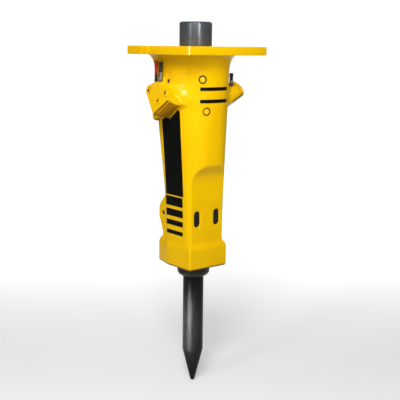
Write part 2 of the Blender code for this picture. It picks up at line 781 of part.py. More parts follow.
def bushings():
    """The thrust ring and upper bushing above the bars, and the lower bushing with its collar."""
    guide = tool_radius + running_gap
    outer = guide + bush_wall
    seat_radius = tool_radius + ring_seat_margin
    cone = seat_radius - ring_bore_radius
    profile = [(ring_bore_radius, ring_top), (outer, ring_top), (outer, ring_bottom)]
    profile += [(seat_radius, ring_bottom), (ring_bore_radius, ring_bottom + cone)]
    turn("thrust_ring", profile, "dark_steel")
    profile = [(guide, upper_bush_top), (outer, upper_bush_top)]
    profile += [(outer, upper_bush_bottom), (guide, upper_bush_bottom)]
    turn("upper_bushing", profile, "bronze")
    outer = guide + lower_bush_wall
    collar_top = block_bottom - seat_gap
    collar_bottom = collar_top - collar_length
    nose = collar_bottom - collar_cone
    groove = nose + wiper_height
    profile = [(guide, lower_bush_top), (outer, lower_bush_top)]
    profile += [(outer, collar_top), (collar_radius, collar_top)]
    profile += arc((collar_radius - collar_cone, collar_bottom), collar_cone, 0, -math.radians(72), 5)
    profile += [(guide + seal_height, nose), (guide + seal_height, groove)]
    profile += [(guide, groove)]
    bush = turn("lower_bushing", profile, "dark_steel")
    reach = block_half_width + cutter_reach
    cut(bush, cross_rod("bush_groove_cutter", bush_pin_radius + seat_gap, -reach, reach, bush_pin_y, bush_pin_z))
    profile = [(guide, groove - seat_gap), (guide + seal_height - seat_gap, groove - seat_gap)]
    profile += [(guide + seal_height - seat_gap, nose - wiper_lip / 3), (guide, nose - wiper_lip)]
    turn("dust_wiper", profile, "rubber")
    cross_rod("bushing_pin", bush_pin_radius, bush_pin_start, bush_pin_start + bush_pin_length, bush_pin_y,
              bush_pin_z, "zinc", chamfer=edge_ease)
    start = lower_bore + grease_wall
    length = block_half_width - grease_recess - start
    thread = length - grease_head
    slim = grease_radius / 2
    profile = [(0, length), (slim, length), (slim, thread + slim), (grease_radius, thread)]
    profile += [(grease_radius, 0), (0, 0)]
    turn("grease_nipple", profile, "zinc", Matrix.Translation((start, 0, bush_pin_z)) @ along_x, small_sides)


def working_tool():
    """A moil point with a flat on each side for the bars. It is stored hanging on them."""
    point_top = tool_tip + tool_tip_radius * 0.6 + (tool_radius - tool_tip_radius) / tool_point_slope
    profile = [(0, tool_top), (tool_radius - tool_chamfer, tool_top), (tool_radius, tool_top - tool_chamfer)]
    profile += [(tool_radius, point_top), (tool_tip_radius, tool_tip + tool_tip_radius * 0.6)]
    profile += [(tool_tip_radius * 0.66, tool_tip + tool_tip_radius * 0.16), (0, tool_tip)]
    tool = turn("working_tool", profile, "tool_steel")
    radius = bar_radius + seat_gap
    upper = bar_half_height + seat_gap - radius
    lower = -upper - tool_travel
    outline = arc((0, upper), radius, 0, math.pi, 6) + arc((0, lower), radius, math.pi, math.tau, 6)
    reach = tool_radius + cutter_reach
    for name, side in (("left", -1), ("right", 1)):
        place = facing_front(side * bar_spacing, 0, bar_z)
        cut(tool, prism(f"tool_flat_cutter_{name}", outline, -reach, reach, place=place))


def retainers():
    """The two bars, the pin that locks their tails, and the rubber plugs in its ends."""
    for name, side in (("left", -1), ("right", 1)):
        bar = bar_shape(f"retainer_bar_{name}", side, 0, recess_face - bar_setback, bar_tail, "dark_steel")
        reach = bar_spacing + 2 * bar_radius
        cut(bar, cross_rod(f"bar_eye_cutter_{name}", lock_pin_radius + seat_gap, -reach, reach, lock_pin_y, bar_z))
        start = side * (lock_pin_length / 2 + seat_gap)
        ends = sorted((start, start + side * lock_plug_length))
        cross_rod(f"lock_pin_plug_{name}", lock_pin_radius, *ends, lock_pin_y, bar_z, "rubber")
    half = lock_pin_length / 2
    cross_rod("lock_pin", lock_pin_radius, -half, half, lock_pin_y, bar_z, "zinc", chamfer=edge_ease)


def boss_covers():
    """A cover on each boss with its socket screws."""
    for side, spin in (("left", Matrix()), ("right", half_turn)):
        here = spin @ boss_frame
        outline = rounded_outline(boss_outlines[side], boss_rounds[side])
        name = f"boss_cover_{side}"
        cover = prism(name, outline, -boss_cover_thickness, 0, "yellow_paint", here, cover_chamfer)
        for number, (u, v) in enumerate(cover_screws):
            place = here @ Matrix.Translation((u, v, 0))
            hole = screw_radius + seat_gap
            head = screw_head_radius + seat_gap
            sink = -screw_head_height - seat_gap
            far = -boss_cover_thickness - cutter_reach
            profile = [(0, cutter_reach), (head, cutter_reach), (head, sink)]
            profile += [(hole, sink), (hole, far), (0, far)]
            cut(cover, turn(f"cover_hole_cutter_{side}_{number}", profile, place=place, sides=small_sides))
            top = -screw_sink
            profile = [(0, top), (screw_head_radius - edge_ease, top), (screw_head_radius, top - edge_ease)]
            profile += [(screw_head_radius, -screw_head_height), (screw_radius, -screw_head_height)]
            profile += [(screw_radius, -screw_length), (0, -screw_length)]
            screw = turn(f"cover_screw_{side}_{number + 1}", profile, "yellow_paint", place, small_sides)
            name = f"socket_cutter_{side}_{number}"
            cut(screw, rod(name, socket_radius, -socket_depth, cutter_reach, place=place, sides=6))


def fitting(name, radius, height, stub, look, here):
    """A round body on a spot face, with a stub down its hole."""
    slim = radius - stub_step - seat_gap
    profile = [(0, height), (radius * 0.8, height), (radius * 0.8, height * 0.62), (radius, height * 0.62)]
    profile += [(radius, seat_gap), (slim, seat_gap), (slim, -stub), (0, -stub)]
    turn(name, profile, look, here, small_sides)


def fitting_cap(name, radius, height, base, look, here):
    low = base + seat_gap
    top = low + height
    profile = [(0, top), (radius - edge_ease, top), (radius, top - edge_ease), (radius, low), (0, low)]
    turn(name, profile, look, here, small_sides)


def port_fittings():
    """On each boss a hose adapter with its dust cap, a test port with its cap, and a bleed plug."""
    for side, spin in (("left", Matrix()), ("right", half_turn)):
        here = fitting_place(side, adapter_places[side], spin)
        base, height = adapter_heights[side], adapter_cap_heights[side]
        fitting(f"port_adapter_{side}", adapter_radius, base, adapter_stub, "zinc", here)
        fitting_cap(f"port_cap_{side}", adapter_cap_radius, height, base, "black_plastic", here)
        here = fitting_place(side, test_port_places[side], spin)
        base, height = test_port_heights[side], test_cap_heights[side]
        look = "red_plastic" if side == "left" else "black_plastic"
        fitting(f"test_port_{side}", test_port_radius, base, test_port_stub, "black_plastic", here)
        fitting_cap(f"test_port_cap_{side}", test_cap_radius, height, base, look, here)
        here = fitting_place(side, bleed_plug_place, spin)
        radius = bleed_plug_radius - stub_step - seat_gap
        stub = bleed_plug_stub - seat_gap
        rod(f"bleed_plug_{side}", radius, -stub, bleed_plug_height, "bronze", here, small_sides)


def front_plugs():
    """The socket plugs of the front ports, each seated at the bottom of its counterbore."""
    for name, port in (("front_plug_upper", front_port_upper), ("front_plug_lower", front_port_lower)):
        face = port_face(port)
        low = face - front_plug_seat + seat_gap
        top = face - front_plug_sink
        neck = front_port_radius - seat_gap
        profile = [(0, top), (front_plug_radius - edge_ease, top), (front_plug_radius, top - edge_ease)]
        under = top - front_plug_head
        profile += [(front_plug_radius, under), (neck, under), (neck, low), (0, low)]
        place = port_place(port)
        plug = turn(name, profile, "yellow_paint", place, hole_sides)
        floor = top - front_socket_depth
        ceiling = top + cutter_reach
        cut(plug, rod(f"{name}_socket_cutter", front_socket_radius, floor, ceiling, place=place, sides=6))


def main():
    clear_scene()
    breaker_body()
    gas_cap()
    seal_carrier()
    piston()
    control_valve()
    bushings()
    working_tool()
    retainers()
    boss_covers()
    port_fittings()
    front_plugs()


main()
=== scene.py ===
# Looks of the hydraulic breaker hammer: cast body, gas cap, fittings, bars, bushings and tool
import json
import math
import time

import bmesh
import bpy
from mathutils import Matrix, Vector

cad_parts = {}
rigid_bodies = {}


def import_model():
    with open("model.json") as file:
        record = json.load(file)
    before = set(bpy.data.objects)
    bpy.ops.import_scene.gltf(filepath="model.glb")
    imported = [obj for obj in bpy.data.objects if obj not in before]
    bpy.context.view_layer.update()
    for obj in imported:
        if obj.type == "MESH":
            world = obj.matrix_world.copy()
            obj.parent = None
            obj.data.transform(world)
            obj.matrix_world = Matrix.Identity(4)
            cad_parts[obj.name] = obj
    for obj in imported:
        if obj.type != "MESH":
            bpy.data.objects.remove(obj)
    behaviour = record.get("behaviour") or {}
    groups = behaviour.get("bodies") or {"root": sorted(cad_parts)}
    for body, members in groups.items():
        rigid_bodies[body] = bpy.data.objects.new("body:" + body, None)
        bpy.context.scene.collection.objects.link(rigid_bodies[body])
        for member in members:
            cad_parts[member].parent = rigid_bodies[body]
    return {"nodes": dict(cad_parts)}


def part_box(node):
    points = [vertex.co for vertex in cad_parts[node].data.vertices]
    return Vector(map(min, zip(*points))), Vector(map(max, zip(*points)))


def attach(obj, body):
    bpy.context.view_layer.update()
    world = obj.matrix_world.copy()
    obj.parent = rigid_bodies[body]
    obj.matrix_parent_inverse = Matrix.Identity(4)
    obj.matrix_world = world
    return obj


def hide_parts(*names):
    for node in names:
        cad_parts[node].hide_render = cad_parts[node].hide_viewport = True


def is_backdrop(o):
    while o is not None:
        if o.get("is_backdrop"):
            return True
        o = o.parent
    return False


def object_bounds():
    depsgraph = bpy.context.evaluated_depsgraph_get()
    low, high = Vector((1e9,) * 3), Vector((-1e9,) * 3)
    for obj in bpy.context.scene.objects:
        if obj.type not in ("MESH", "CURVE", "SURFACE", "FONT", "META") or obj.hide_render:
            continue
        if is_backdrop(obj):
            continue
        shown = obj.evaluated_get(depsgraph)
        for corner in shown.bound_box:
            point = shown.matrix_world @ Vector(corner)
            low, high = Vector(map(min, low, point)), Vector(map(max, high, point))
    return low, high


started = time.time()
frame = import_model()
cadBox = [list(corner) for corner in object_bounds()]


def report(words):
    print(f"[{time.time() - started:5.1f} s] {words}")


class Graph:
    # a node tree that makes its nodes through one method
    def __init__(self, tree):
        self.tree = tree

    def add(self, kind, inputs=None, settings=None, output=0):
        node = self.tree.nodes.new(kind)
        for name, value in (settings or {}).items():
            setattr(node, name, value)
        for key, value in (inputs or {}).items():
            if isinstance(value, Wire):
                self.tree.links.new(value.socket, node.inputs[key])
            else:
                node.inputs[key].default_value = value
        return Wire(self, node.outputs[output])


class Wire:
    # a socket whose sums and products add Math nodes
    def __init__(self, graph, socket):
        self.graph = graph
        self.socket = socket

    def math(self, operation, *others):
        inputs = dict(enumerate((self, *others)))
        return self.graph.add("ShaderNodeMath", inputs, {"operation": operation})

    def out(self, name):
        return Wire(self.graph, self.socket.node.outputs[name])

    def __rsub__(self, other):
        return self.graph.add("ShaderNodeMath", {0: other, 1: self}, {"operation": "SUBTRACT"})

    def __neg__(self):
        return self * -1.0

    def clamped(self):
        return self.most(0.0).least(1.0)

    def split(self):
        parts = self.graph.add("ShaderNodeSeparateXYZ", {0: self})
        return [parts.out(axis) for axis in "XYZ"]


def mathMethod(operation):
    return lambda wire, *others: wire.math(operation, *others)


wireMethods = {
    "__add__": "ADD", "__radd__": "ADD", "__sub__": "SUBTRACT", "__mul__": "MULTIPLY",
    "__rmul__": "MULTIPLY", "__truediv__": "DIVIDE", "__abs__": "ABSOLUTE", "__lt__": "LESS_THAN",
    "__gt__": "GREATER_THAN", "least": "MINIMUM", "most": "MAXIMUM", "root": "SQRT",
}
for name, operation in wireMethods.items():
    setattr(Wire, name, mathMethod(operation))


def length(*parts):
    # the length of a vector whose parts are wires
    total = parts[0] * parts[0]
    for part in parts[1:]:
        total = total + part * part
    return total.root()


# levels and places read from the frame
low, high = {}, {}
for nodeName in frame["nodes"]:
    low[nodeName], high[nodeName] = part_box(nodeName)


def camel(nodeName):
    first, *rest = nodeName.split("_")
    return first + "".join(word.title() for word in rest)


def middle(nodeName):
    return (low[nodeName] + high[nodeName]) / 2


def width(nodeName):
    return high[nodeName].x - low[nodeName].x


def tall(nodeName):
    return high[nodeName].z - low[nodeName].z


barZ = middle("retainer_bar_left").z
pinY = middle("lock_pin").y
blockBottom = low["breaker_body"].z
flangeLow, flangeHigh = low["adapter_flange"], high["adapter_flange"]
barNames = ("retainer_bar_left", "retainer_bar_right")
turns = {"left": Matrix(), "right": Matrix.Rotation(math.pi, 4, "Z")}
# seam is the gap between fixed pieces, past is how far a cutter stands out of what it cuts
seam, past = 0.0003, 0.01
sharpAngle = math.radians(35)
alongX = Matrix.Rotation(math.pi / 2, 4, "Y")
alongY = Matrix.Rotation(math.pi / 2, 4, "X")


def moved(x, y, z=0.0):
    return Matrix.Translation((x, y, z))


def cornerAt(points, i):
    # a corner of a closed outline, and the directions to the corners before and after it
    here, back, ahead = [Vector(points[j % len(points)][:2]) for j in (i, i - 1, i + 1)]
    return here, (back - here).normalized(), (ahead - here).normalized()


def eased(points, steps=4):
    # each point is (x, y), or (x, y, radius) where its corner is rounded
    result = []
    for i, point in enumerate(points):
        here, back, ahead = cornerAt(points, i)
        if len(point) < 3:
            result.append(tuple(here))
            continue
        half = back.angle(ahead) / 2
        centre = here + (back + ahead).normalized() * (point[2] / math.sin(half))
        first = here + back * (point[2] / math.tan(half)) - centre
        side = math.copysign(1, back.x * ahead.y - back.y * ahead.x)
        for step in range(steps + 1):
            spoke = Matrix.Rotation(-side * (math.pi - 2 * half) * step / steps, 2) @ first
            result.append(tuple(centre + spoke))
    return result


def inset(outline, distance):
    # the outline, anticlockwise, moved inwards
    result = []
    for i in range(len(outline)):
        here, back, ahead = cornerAt(outline, i)
        outward = Vector((ahead.y - back.y, back.x - ahead.x)).normalized()
        lean = max(0.5, outward.dot(Vector((ahead.y, -ahead.x))))
        result.append(tuple(here - outward * (distance / lean)))
    return result


def shown(name, data):
    thing = bpy.data.objects.new(name, data)
    bpy.context.scene.collection.objects.link(thing)
    return thing


def made(name, bm, place=None, look=None):
    # an object at the origin whose mesh is already in its place
    if place is not None:
        bm.transform(place)
    bmesh.ops.recalc_face_normals(bm, faces=bm.faces)
    mesh = bpy.data.meshes.new(name)
    bm.to_mesh(mesh)
    bm.free()
    if look is not None:
        mesh.materials.append(look)
    mesh.shade_smooth()
    mesh.set_sharp_from_angle(angle=sharpAngle)
    return shown(name, mesh)


def turned(name, profile, place=None, look=None, steps=96):
    # a solid turned about Z; the profile is closed, or starts and ends on the axis
    bm = bmesh.new()
    rings = []
    for radius, height in profile:
        corners = ring(steps, radius) if radius else [(0, 0)]
        rings.append([bm.verts.new((x, y, height)) for x, y in corners])
    for here, there in zip(rings, rings[1:] + rings[:1]):
        if len(here) == len(there) == 1:
            continue
        for i in range(steps):
            j = (i + 1) % steps
            corners = (here[i % len(here)], here[j % len(here)], there[j % len(there)], there[i % len(there)])
            bm.faces.new(list(dict.fromkeys(corners)))
    return made(name, bm, place, look)


def slab(name, outline, bottom, top, edge=0.0, place=None, look=None, steps=3):
    # an outline made thick along Z, with rounded edges
    layers = [(0.0, bottom), (0.0, top)]
    if edge:
        angles = [math.pi / 2 * i / steps for i in range(steps + 1)]
        layers = [(edge * (1 - math.sin(a)), bottom + edge * (1 - math.cos(a))) for a in angles]
        layers += [(edge * (1 - math.cos(a)), top - edge * (1 - math.sin(a))) for a in angles]
    bm = bmesh.new()
    rings = [[bm.verts.new((x, y, z)) for x, y in inset(outline, inward)] for inward, z in layers]
    for here, there in zip(rings, rings[1:]):
        for i in range(len(outline)):
            j = (i + 1) % len(outline)
            bm.faces.new((here[i], here[j], there[j], there[i]))
    bm.faces.new(rings[0])
    bm.faces.new(rings[-1])
    return made(name, bm, place, look)


def ring(sides, radius):
    angles = [math.tau * i / sides for i in range(sides)]
    return [(radius * math.cos(a), radius * math.sin(a)) for a in angles]


def drill(radius, bottom, top, place=None, sides=64):
    return slab("drill", ring(sides, radius), bottom, top, place=place)


def arc(radius, start, end, steps, centre):
    angles = [start + (end - start) * i / steps for i in range(steps + 1)]
    return [(centre[0] + radius * math.cos(a), centre[1] + radius * math.sin(a)) for a in angles]


def capsule(radius, halfHeight, steps=24):
    upper = arc(radius, 0, math.pi, steps, (0, halfHeight - radius))
    return upper + [(-x, -y) for x, y in upper]


def stepped(*steps):
    # a profile closed at the axis, from steps of (radius, first level, last level)
    corners = [(radius, level) for radius, *levels in steps for level in levels]
    return [(0, corners[0][1]), *corners, (0, corners[-1][1])]


def settled(thing):
    # keeps what the modifiers make of a piece as its plain mesh
    graph = bpy.context.evaluated_depsgraph_get()
    mesh = bpy.data.meshes.new_from_object(thing.evaluated_get(graph), depsgraph=graph)
    thing.modifiers.clear()
    thing.data = mesh
    return thing


def carved(thing, *cutters, sharp=sharpAngle):
    # cuts the closed cutters out of a piece
    for cutter in cutters:
        step = thing.modifiers.new("cut", "BOOLEAN")
        step.solver = "MANIFOLD"
        step.object = cutter
    mesh = settled(thing).data
    for i in reversed(range(len(mesh.materials))):
        if mesh.materials[i] is None:
            mesh.materials.pop(index=i)
    for cutter in cutters:
        bpy.data.objects.remove(cutter, do_unlink=True)
    mesh.set_sharp_from_angle(angle=sharp)
    return thing


def plainMesh(name, tree, values):
    # a piece made by a node tree
    thing = shown(name, bpy.data.meshes.new(name))
    modifier = thing.modifiers.new("Nodes", "NODES")
    modifier.node_group = tree
    for item in tree.interface.items_tree:
        if item.in_out == "INPUT" and item.name in values:
            modifier[item.identifier] = values[item.name]
    return settled(thing)


def nodeTree(name, sizes):
    # a geometry tree with a named input for each size
    tree = bpy.data.node_groups.new(name, "GeometryNodeTree")
    tree.is_modifier = True
    for key, value in sizes.items():
        kind = "NodeSocketInt" if isinstance(value, int) else "NodeSocketFloat"
        tree.interface.new_socket(key, in_out="INPUT", socket_type=kind).default_value = value
    tree.interface.new_socket("Finish", in_out="INPUT", socket_type="NodeSocketMaterial")
    tree.interface.new_socket("Geometry", in_out="OUTPUT", socket_type="NodeSocketGeometry")
    graph = Graph(tree)
    given = tree.nodes.new("NodeGroupInput")
    size = {key: Wire(graph, given.outputs[key]) for key in [*sizes, "Finish"]}
    return graph, size


def endTree(graph, shape, finish):
    painted = graph.add("GeometryNodeSetMaterial", {"Geometry": shape, "Material": finish})
    smooth = graph.add("GeometryNodeSetShadeSmooth", {"Geometry": painted})
    result = graph.tree.nodes.new("NodeGroupOutput")
    graph.tree.links.new(smooth.socket, result.inputs[0])
    return graph.tree


def fitted(thing, nodeName, body="casing"):
    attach(thing, body)
    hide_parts(nodeName)


# materials

def blended(mask, a, b):
    # colour a where the mask is 0, colour b where it is 1
    return mask.graph.add("ShaderNodeMix", {0: mask, 6: a, 7: b}, {"data_type": "RGBA"}, output=2)


def band(value, start, end, soft=0.0004):
    return ((value - start) / soft).clamped() * ((end - value) / soft).clamped()


def smoothly(value, start, end):
    share = ((value - start) / (end - start)).clamped()
    return share * share * (3.0 - 2.0 * share)


class Finish:
    # a Principled material whose colours and bumps are laid over each other
    def __init__(self, name, colour, **values):
        self.material = bpy.data.materials.new(name)
        self.material.use_nodes = True
        self.graph = Graph(self.material.node_tree)
        self.shader = self.material.node_tree.nodes["Principled BSDF"]
        for key, value in values.items():
            self.shader.inputs[key.replace("_", " ")].default_value = value
        self.place = self.graph.add("ShaderNodeTexCoord").out("Object")
        self.colour = (*colour, 1)
        self.skin = None

    def feed(self, key, wire):
        self.graph.tree.links.new(wire.socket, self.shader.inputs[key])

    def tint(self, mask, colour):
        self.colour = blended(mask, self.colour, (*colour, 1))
        self.feed("Base Color", self.colour)

    def bump(self, height, strength, distance):
        inputs = {"Height": height, "Strength": strength, "Distance": distance}
        if self.skin:
            inputs["Normal"] = self.skin
        self.skin = self.graph.add("ShaderNodeBump", inputs)
        self.feed("Normal", self.skin)

    def noise(self, scale, detail=2.0, roughness=0.5, place=None):
        inputs = {"Vector": place or self.place, "Scale": scale, "Detail": detail, "Roughness": roughness}
        return self.graph.add("ShaderNodeTexNoise", inputs)

    def turning(self, scale, detail=2.0):
        # marks that change along Z only
        along = self.graph.add("ShaderNodeCombineXYZ", {"Z": self.place.split()[2] * scale})
        return self.noise(1.0, detail, place=along)


paintLook = {
    "yellow": (0.90, 0.530, 0.001), "deep": (0.85, 0.480, 0.001), "vinyl": (0.004, 0.004, 0.003),
    # the pale line on the flange's front face, just beside its left corner, is a painted highlight
    "worn": (0.95, 0.90, 0.62), "scuff": (0.0030, 0.0068), "scuffDepth": 0.002,
    # the dark band along the block's bottom edge is painted shade
    "grime": (0.045, 0.022, 0.002), "grimeLevel": (0.0035, 0.0078),
    # the dark orange on faces that look down in the lower body is painted shade, strongest under the bosses
    "below": (0.27, 0.108, 0.001), "belowFacing": (0.22, 0.50), "belowLevel": (0.112, 0.130),
    "belowShare": 0.22, "bossShare": 0.90, "bossOut": (0.100, 0.108),
    "barHalfAngle": math.radians(30.7), "barLevels": ((-0.129, -0.118), (-0.165, -0.154)),
    "side": (-0.0975, -0.055),
    "panelWide": (-0.0392, 0.047), "panelTop": -0.1812, "panelLean": 0.44, "panelBottom": -0.4500,
    "stripes": (
        (-0.4838, -0.4536, -0.0352, 0.0485), (-0.5165, -0.4935, -0.0347, 0.0495),
        (-0.5453, -0.5282, -0.0342, 0.0505), (-0.5735, -0.5605, -0.0332, 0.0520)),
    "patches": (9.0, 3.0), "wear": (70.0, 4.0), "peel": (420.0, 1.0), "lumps": (46.0, 3.0, 0.55),
    "grit": (150.0, 2.0, 0.6), "gritOut": (0.072, 0.092), "gritLow": (-0.16, -0.13), "gritHigh": (0.07, 0.10),
    "facing": (-0.30, -0.02), "coat": 0.05, "bossCoat": 0.40, "vinylCoat": 0.02,
    "deepShare": (0.42, 0.72), "scuffSoft": 0.0006, "grimeShare": 0.95, "roughness": 0.24,
}


def makePaint():
    look = paintLook
    finish = Finish("yellowPaint", look["yellow"], Coat_Roughness=0.1, Specular_IOR_Level=0.08)
    x, y, z = finish.place.split()
    upper, lower = look["barLevels"]
    ahead = look["barHalfAngle"] - abs(x.math("ARCTAN2", -y)) > 0.0
    bars = (band(z, *upper) + band(z, *lower)) * ahead
    slant = look["panelTop"] - (y - look["panelWide"][0]) * look["panelLean"]
    panel = band(y, *look["panelWide"]) * band(z, look["panelBottom"], slant)
    for start, end, front, rear in look["stripes"]:
        panel = panel + band(y, front, rear) * band(z, start, end)
    mask = (bars + panel * band(x, *look["side"])).clamped()
    finish.tint(smoothly(finish.noise(*look["patches"]), *look["deepShare"]), look["deep"])
    finish.tint(mask, look["vinyl"])
    # painted highlight: a pale line on the flange's front face, just beside its left corner, where its
    # rounded edge would catch the light
    onCorner = (flangeLow.y + look["scuffDepth"] - y > 0.0) * (z - flangeLow.z > 0.0)
    finish.tint(band(x - flangeLow.x, *look["scuff"], look["scuffSoft"]) * onCorner, look["worn"])
    # painted shade: a dark brown band along the bottom edge of the block
    grime = 1.0 - smoothly(z - blockBottom, *look["grimeLevel"])
    finish.tint(grime * look["grimeShare"], look["grime"])
    # painted shade: dark orange on faces that look down in the lower body, strongest on the undersides of the
    # bosses
    up = finish.graph.add("ShaderNodeNewGeometry").out("Normal").split()[2]
    below = smoothly(-up, *look["belowFacing"]) * smoothly(-z, *look["belowLevel"])
    share = look["belowShare"] + smoothly(abs(x), *look["bossOut"]) * (look["bossShare"] - look["belowShare"])
    finish.tint(below * share * (1.0 - mask), look["below"])
    wear = finish.noise(*look["wear"])
    finish.feed("Roughness", look["roughness"] + wear * 0.12 + mask * 0.06)
    nearBoss = smoothly(z, *look["gritLow"]) * smoothly(-z, *look["gritHigh"])
    nearBoss = nearBoss * smoothly(abs(x), *look["gritOut"])
    coat = look["coat"] - mask * look["vinylCoat"] + (wear - 0.5) * 0.04 + nearBoss * look["bossCoat"]
    finish.feed("Coat Weight", coat * smoothly(up, *look["facing"]))
    finish.bump(finish.noise(*look["peel"]), 0.05, 0.0003)
    finish.bump(finish.noise(*look["lumps"]), 0.25, 0.0012)
    finish.bump(finish.noise(*look["grit"]) * nearBoss, 1.0, 0.0032)
    finish.bump(mask, 0.6, 0.0003)
    return finish.material


def metal(name, colour, darker, roughness, ringScale, metallic=1.0, grain=300.0):
    # machined or plated steel: uneven tone, fine grain and turning marks
    finish = Finish(name, colour, Metallic=metallic)
    cloud, fine = finish.noise(28.0, 4.0, 0.6), finish.noise(grain)
    finish.tint(smoothly(cloud, 0.35, 0.7), darker)
    finish.feed("Roughness", roughness + (cloud - 0.5) * 0.15 + (fine - 0.5) * 0.1)
    finish.bump(fine, 0.12, 0.0003)
    finish.bump(finish.turning(ringScale), 0.25, 0.0003)
    return finish.material


def coated(name, colour, faded, roughness, grain, depth=0.0003, coat=0.0):
    # plastic, rubber, sealant or the dark brown inside holes: slightly faded in patches
    finish = Finish(name, colour, Coat_Roughness=0.25, Specular_IOR_Level=0.3)
    cloud, fine = finish.noise(35.0, 3.0), finish.noise(grain, 3.0)
    finish.tint(smoothly(cloud, 0.4, 0.75), faded)
    finish.feed("Roughness", roughness + (fine - 0.5) * 0.14)
    if coat:
        finish.feed("Coat Weight", coat + (cloud - 0.5) * 0.1)
    finish.bump(fine, 0.3, depth)
    return finish.material


toolLook = {
    "shank": (0.008, 0.008, 0.0075), "scale": (0.006, 0.006, 0.0055), "rust": (0.030, 0.018, 0.011),
    "point": (-0.962, -0.946), "roughness": 0.36, "specular": 0.125,
    "cloud": (24.0, 5.0, 0.62), "spots": (95.0, 4.0, 0.7), "pits": (210.0, 4.0, 0.65), "turning": 900.0,
}


def makeToolSteel():
    # turned shank with an oil film, darker and matter at the forged point
    look = toolLook
    finish = Finish("toolSteel", look["shank"], Metallic=0.05, Specular_IOR_Level=look["specular"])
    point = 1.0 - smoothly(finish.place.split()[2], *look["point"])
    cloud, pits = finish.noise(*look["cloud"]), finish.noise(*look["pits"])
    finish.tint(smoothly(cloud, 0.38, 0.68), look["scale"])
    finish.tint(point * 0.6, look["scale"])
    spots = smoothly(finish.noise(*look["spots"]), 0.62, 0.74)
    finish.tint(spots * (0.15 + point * 0.35), look["rust"])
    finish.feed("Roughness", look["roughness"] + point * 0.16 + (cloud - 0.5) * 0.2)
    finish.bump(finish.turning(look["turning"]), 0.22, 0.0003)
    finish.bump(pits, 0.25, 0.0005)
    finish.bump(pits * point, 0.6, 0.0012)
    return finish.material


capLook = {
    "paint": (0.078, 0.088, 0.102), "faded": (0.064, 0.073, 0.085),
    "roughness": 0.34, "coat": 0.85, "turning": 500.0,
}


def makeCapGrey():
    # satin grey paint over a turned surface
    look = capLook
    finish = Finish("capGrey", look["paint"], Metallic=0.35, Coat_Roughness=0.2)
    cloud, fine = finish.noise(18.0, 3.0), finish.noise(320.0)
    finish.tint(smoothly(cloud, 0.35, 0.7), look["faded"])
    finish.feed("Roughness", look["roughness"] + (fine - 0.5) * 0.1 + (cloud - 0.5) * 0.1)
    finish.feed("Coat Weight", look["coat"] + (cloud - 0.5) * 0.2)
    finish.bump(finish.turning(look["turning"], 1.0), 0.12, 0.0003)
    finish.bump(fine, 0.1, 0.0003)
    return finish.material


paint = makePaint()
capGrey = makeCapGrey()
toolSteel = makeToolSteel()
groundSteel = metal("groundSteel", (0.56, 0.56, 0.57), (0.47, 0.47, 0.48), 0.2, 1200.0)
darkSteel = metal("darkSteel", (0.040, 0.042, 0.030), (0.022, 0.022, 0.018), 0.42, 700.0, 0.7, 260.0)
zinc = metal("zincSteel", (0.34, 0.34, 0.28), (0.16, 0.16, 0.12), 0.34, 900.0, grain=420.0)
bronze = metal("bearingBronze", (0.50, 0.27, 0.11), (0.36, 0.19, 0.08), 0.34, 1100.0)
plugRed = coated("plugSealant", (0.16, 0.022, 0.012), (0.075, 0.018, 0.010), 0.45, 300.0, 0.0005)
rubber = coated("blackRubber", (0.018, 0.018, 0.018), (0.034, 0.033, 0.031), 0.72, 500.0, 0.0005)
blackPlastic = coated("blackPlastic", (0.012, 0.012, 0.013), (0.022, 0.022, 0.023), 0.38, 380.0)
redPlastic = coated("redPlastic", (0.46, 0.004, 0.006), (0.36, 0.004, 0.006), 0.34, 380.0, 0.0002, 0.2)
# dark brown laid on the faces inside holes, so they look darker inside
socketDirt = coated("socketDirt", (0.055, 0.018, 0.010), (0.020, 0.012, 0.008), 0.8, 600.0, 0.0006)
report("materials ready")


# cast body: the shape is a sum of distances, turned into a skin

castSizes = {
    "Neck half width": 0.102, "Neck front": 0.102, "Neck rear": 0.097,
    "Neck front round": 0.098, "Neck rear round": 0.040,
    "Foot half width": 0.0695, "Foot front": 0.083, "Foot rear": 0.057,
    "Foot front round": 0.044, "Foot rear round": 0.014,
    "Taper start": 0.050, "Taper ease": 1.2, "Root width": 0.024, "Root height": 0.044,
    "Recess face": 0.0643, "Recess run-out": 0.102, "Recess rise": 0.097, "Recess edge": 0.0025,
    "Block half width": 0.0745, "Block front": 0.0745, "Block rear": 0.109, "Block straight": 0.040,
    "Block height": 0.0842, "Block corner": 0.008, "Block edge": 0.006,
    "Shoulder rise": 0.016, "Shoulder inset": 0.0125, "Shoulder edge": 0.004, "Shoulder fillet": 0.004,
    "Lobe half width": 0.058, "Lobe edge": 0.010, "Lobe fillet": 0.010,
    "Boss reach": 0.151, "Boss drop": 0.150, "Boss depth": 0.105, "Boss edge": 0.0015,
    "Boss fillet": 0.010, "Cover thickness": 0.0103,
    "Knob radius": 0.013, "Knob out": 0.133, "Knob behind": 0.014, "Knob drop": 0.206,
    "Slot radius": 0.0115, "Slot half height": 0.0250, "Slot spacing": 0.038, "Slot edge": 0.0035,
    "Pin hole radius": 0.0080, "Pin hole edge": 0.0015,
}
castShape = {
    "voxel": 0.0018,
    "bossTilt": math.radians(26),
    "blockTurn": math.radians(14),
    "lobe": (
        (0.0, -0.150), (0.0495, -0.150), (0.110, -0.015), (0.110, 0.022), (0.014, 0.142), (0.0, 0.142)),
    "lobeRounds": (0, 0, 0.022, 0.030, 0, 0),
    "lobeFoot": ((0.084, -0.110), (0.088, -0.060)),
    "lobeHollow": 0.008, "lobeFootTop": -0.045, "lobeBottom": -0.100, "lobeFront": 0.014,
    "rootLap": 0.006, "rootCut": 0.003, "waistLap": 0.020, "slantEdge": 0.0015,
    "saddleLevel": 0.002, "saddleRise": 0.026, "underEdge": 0.004,
    "knobHalf": 0.020, "knobFillet": 0.004, "slotDepth": 0.050, "pinDepth": 0.045,
}
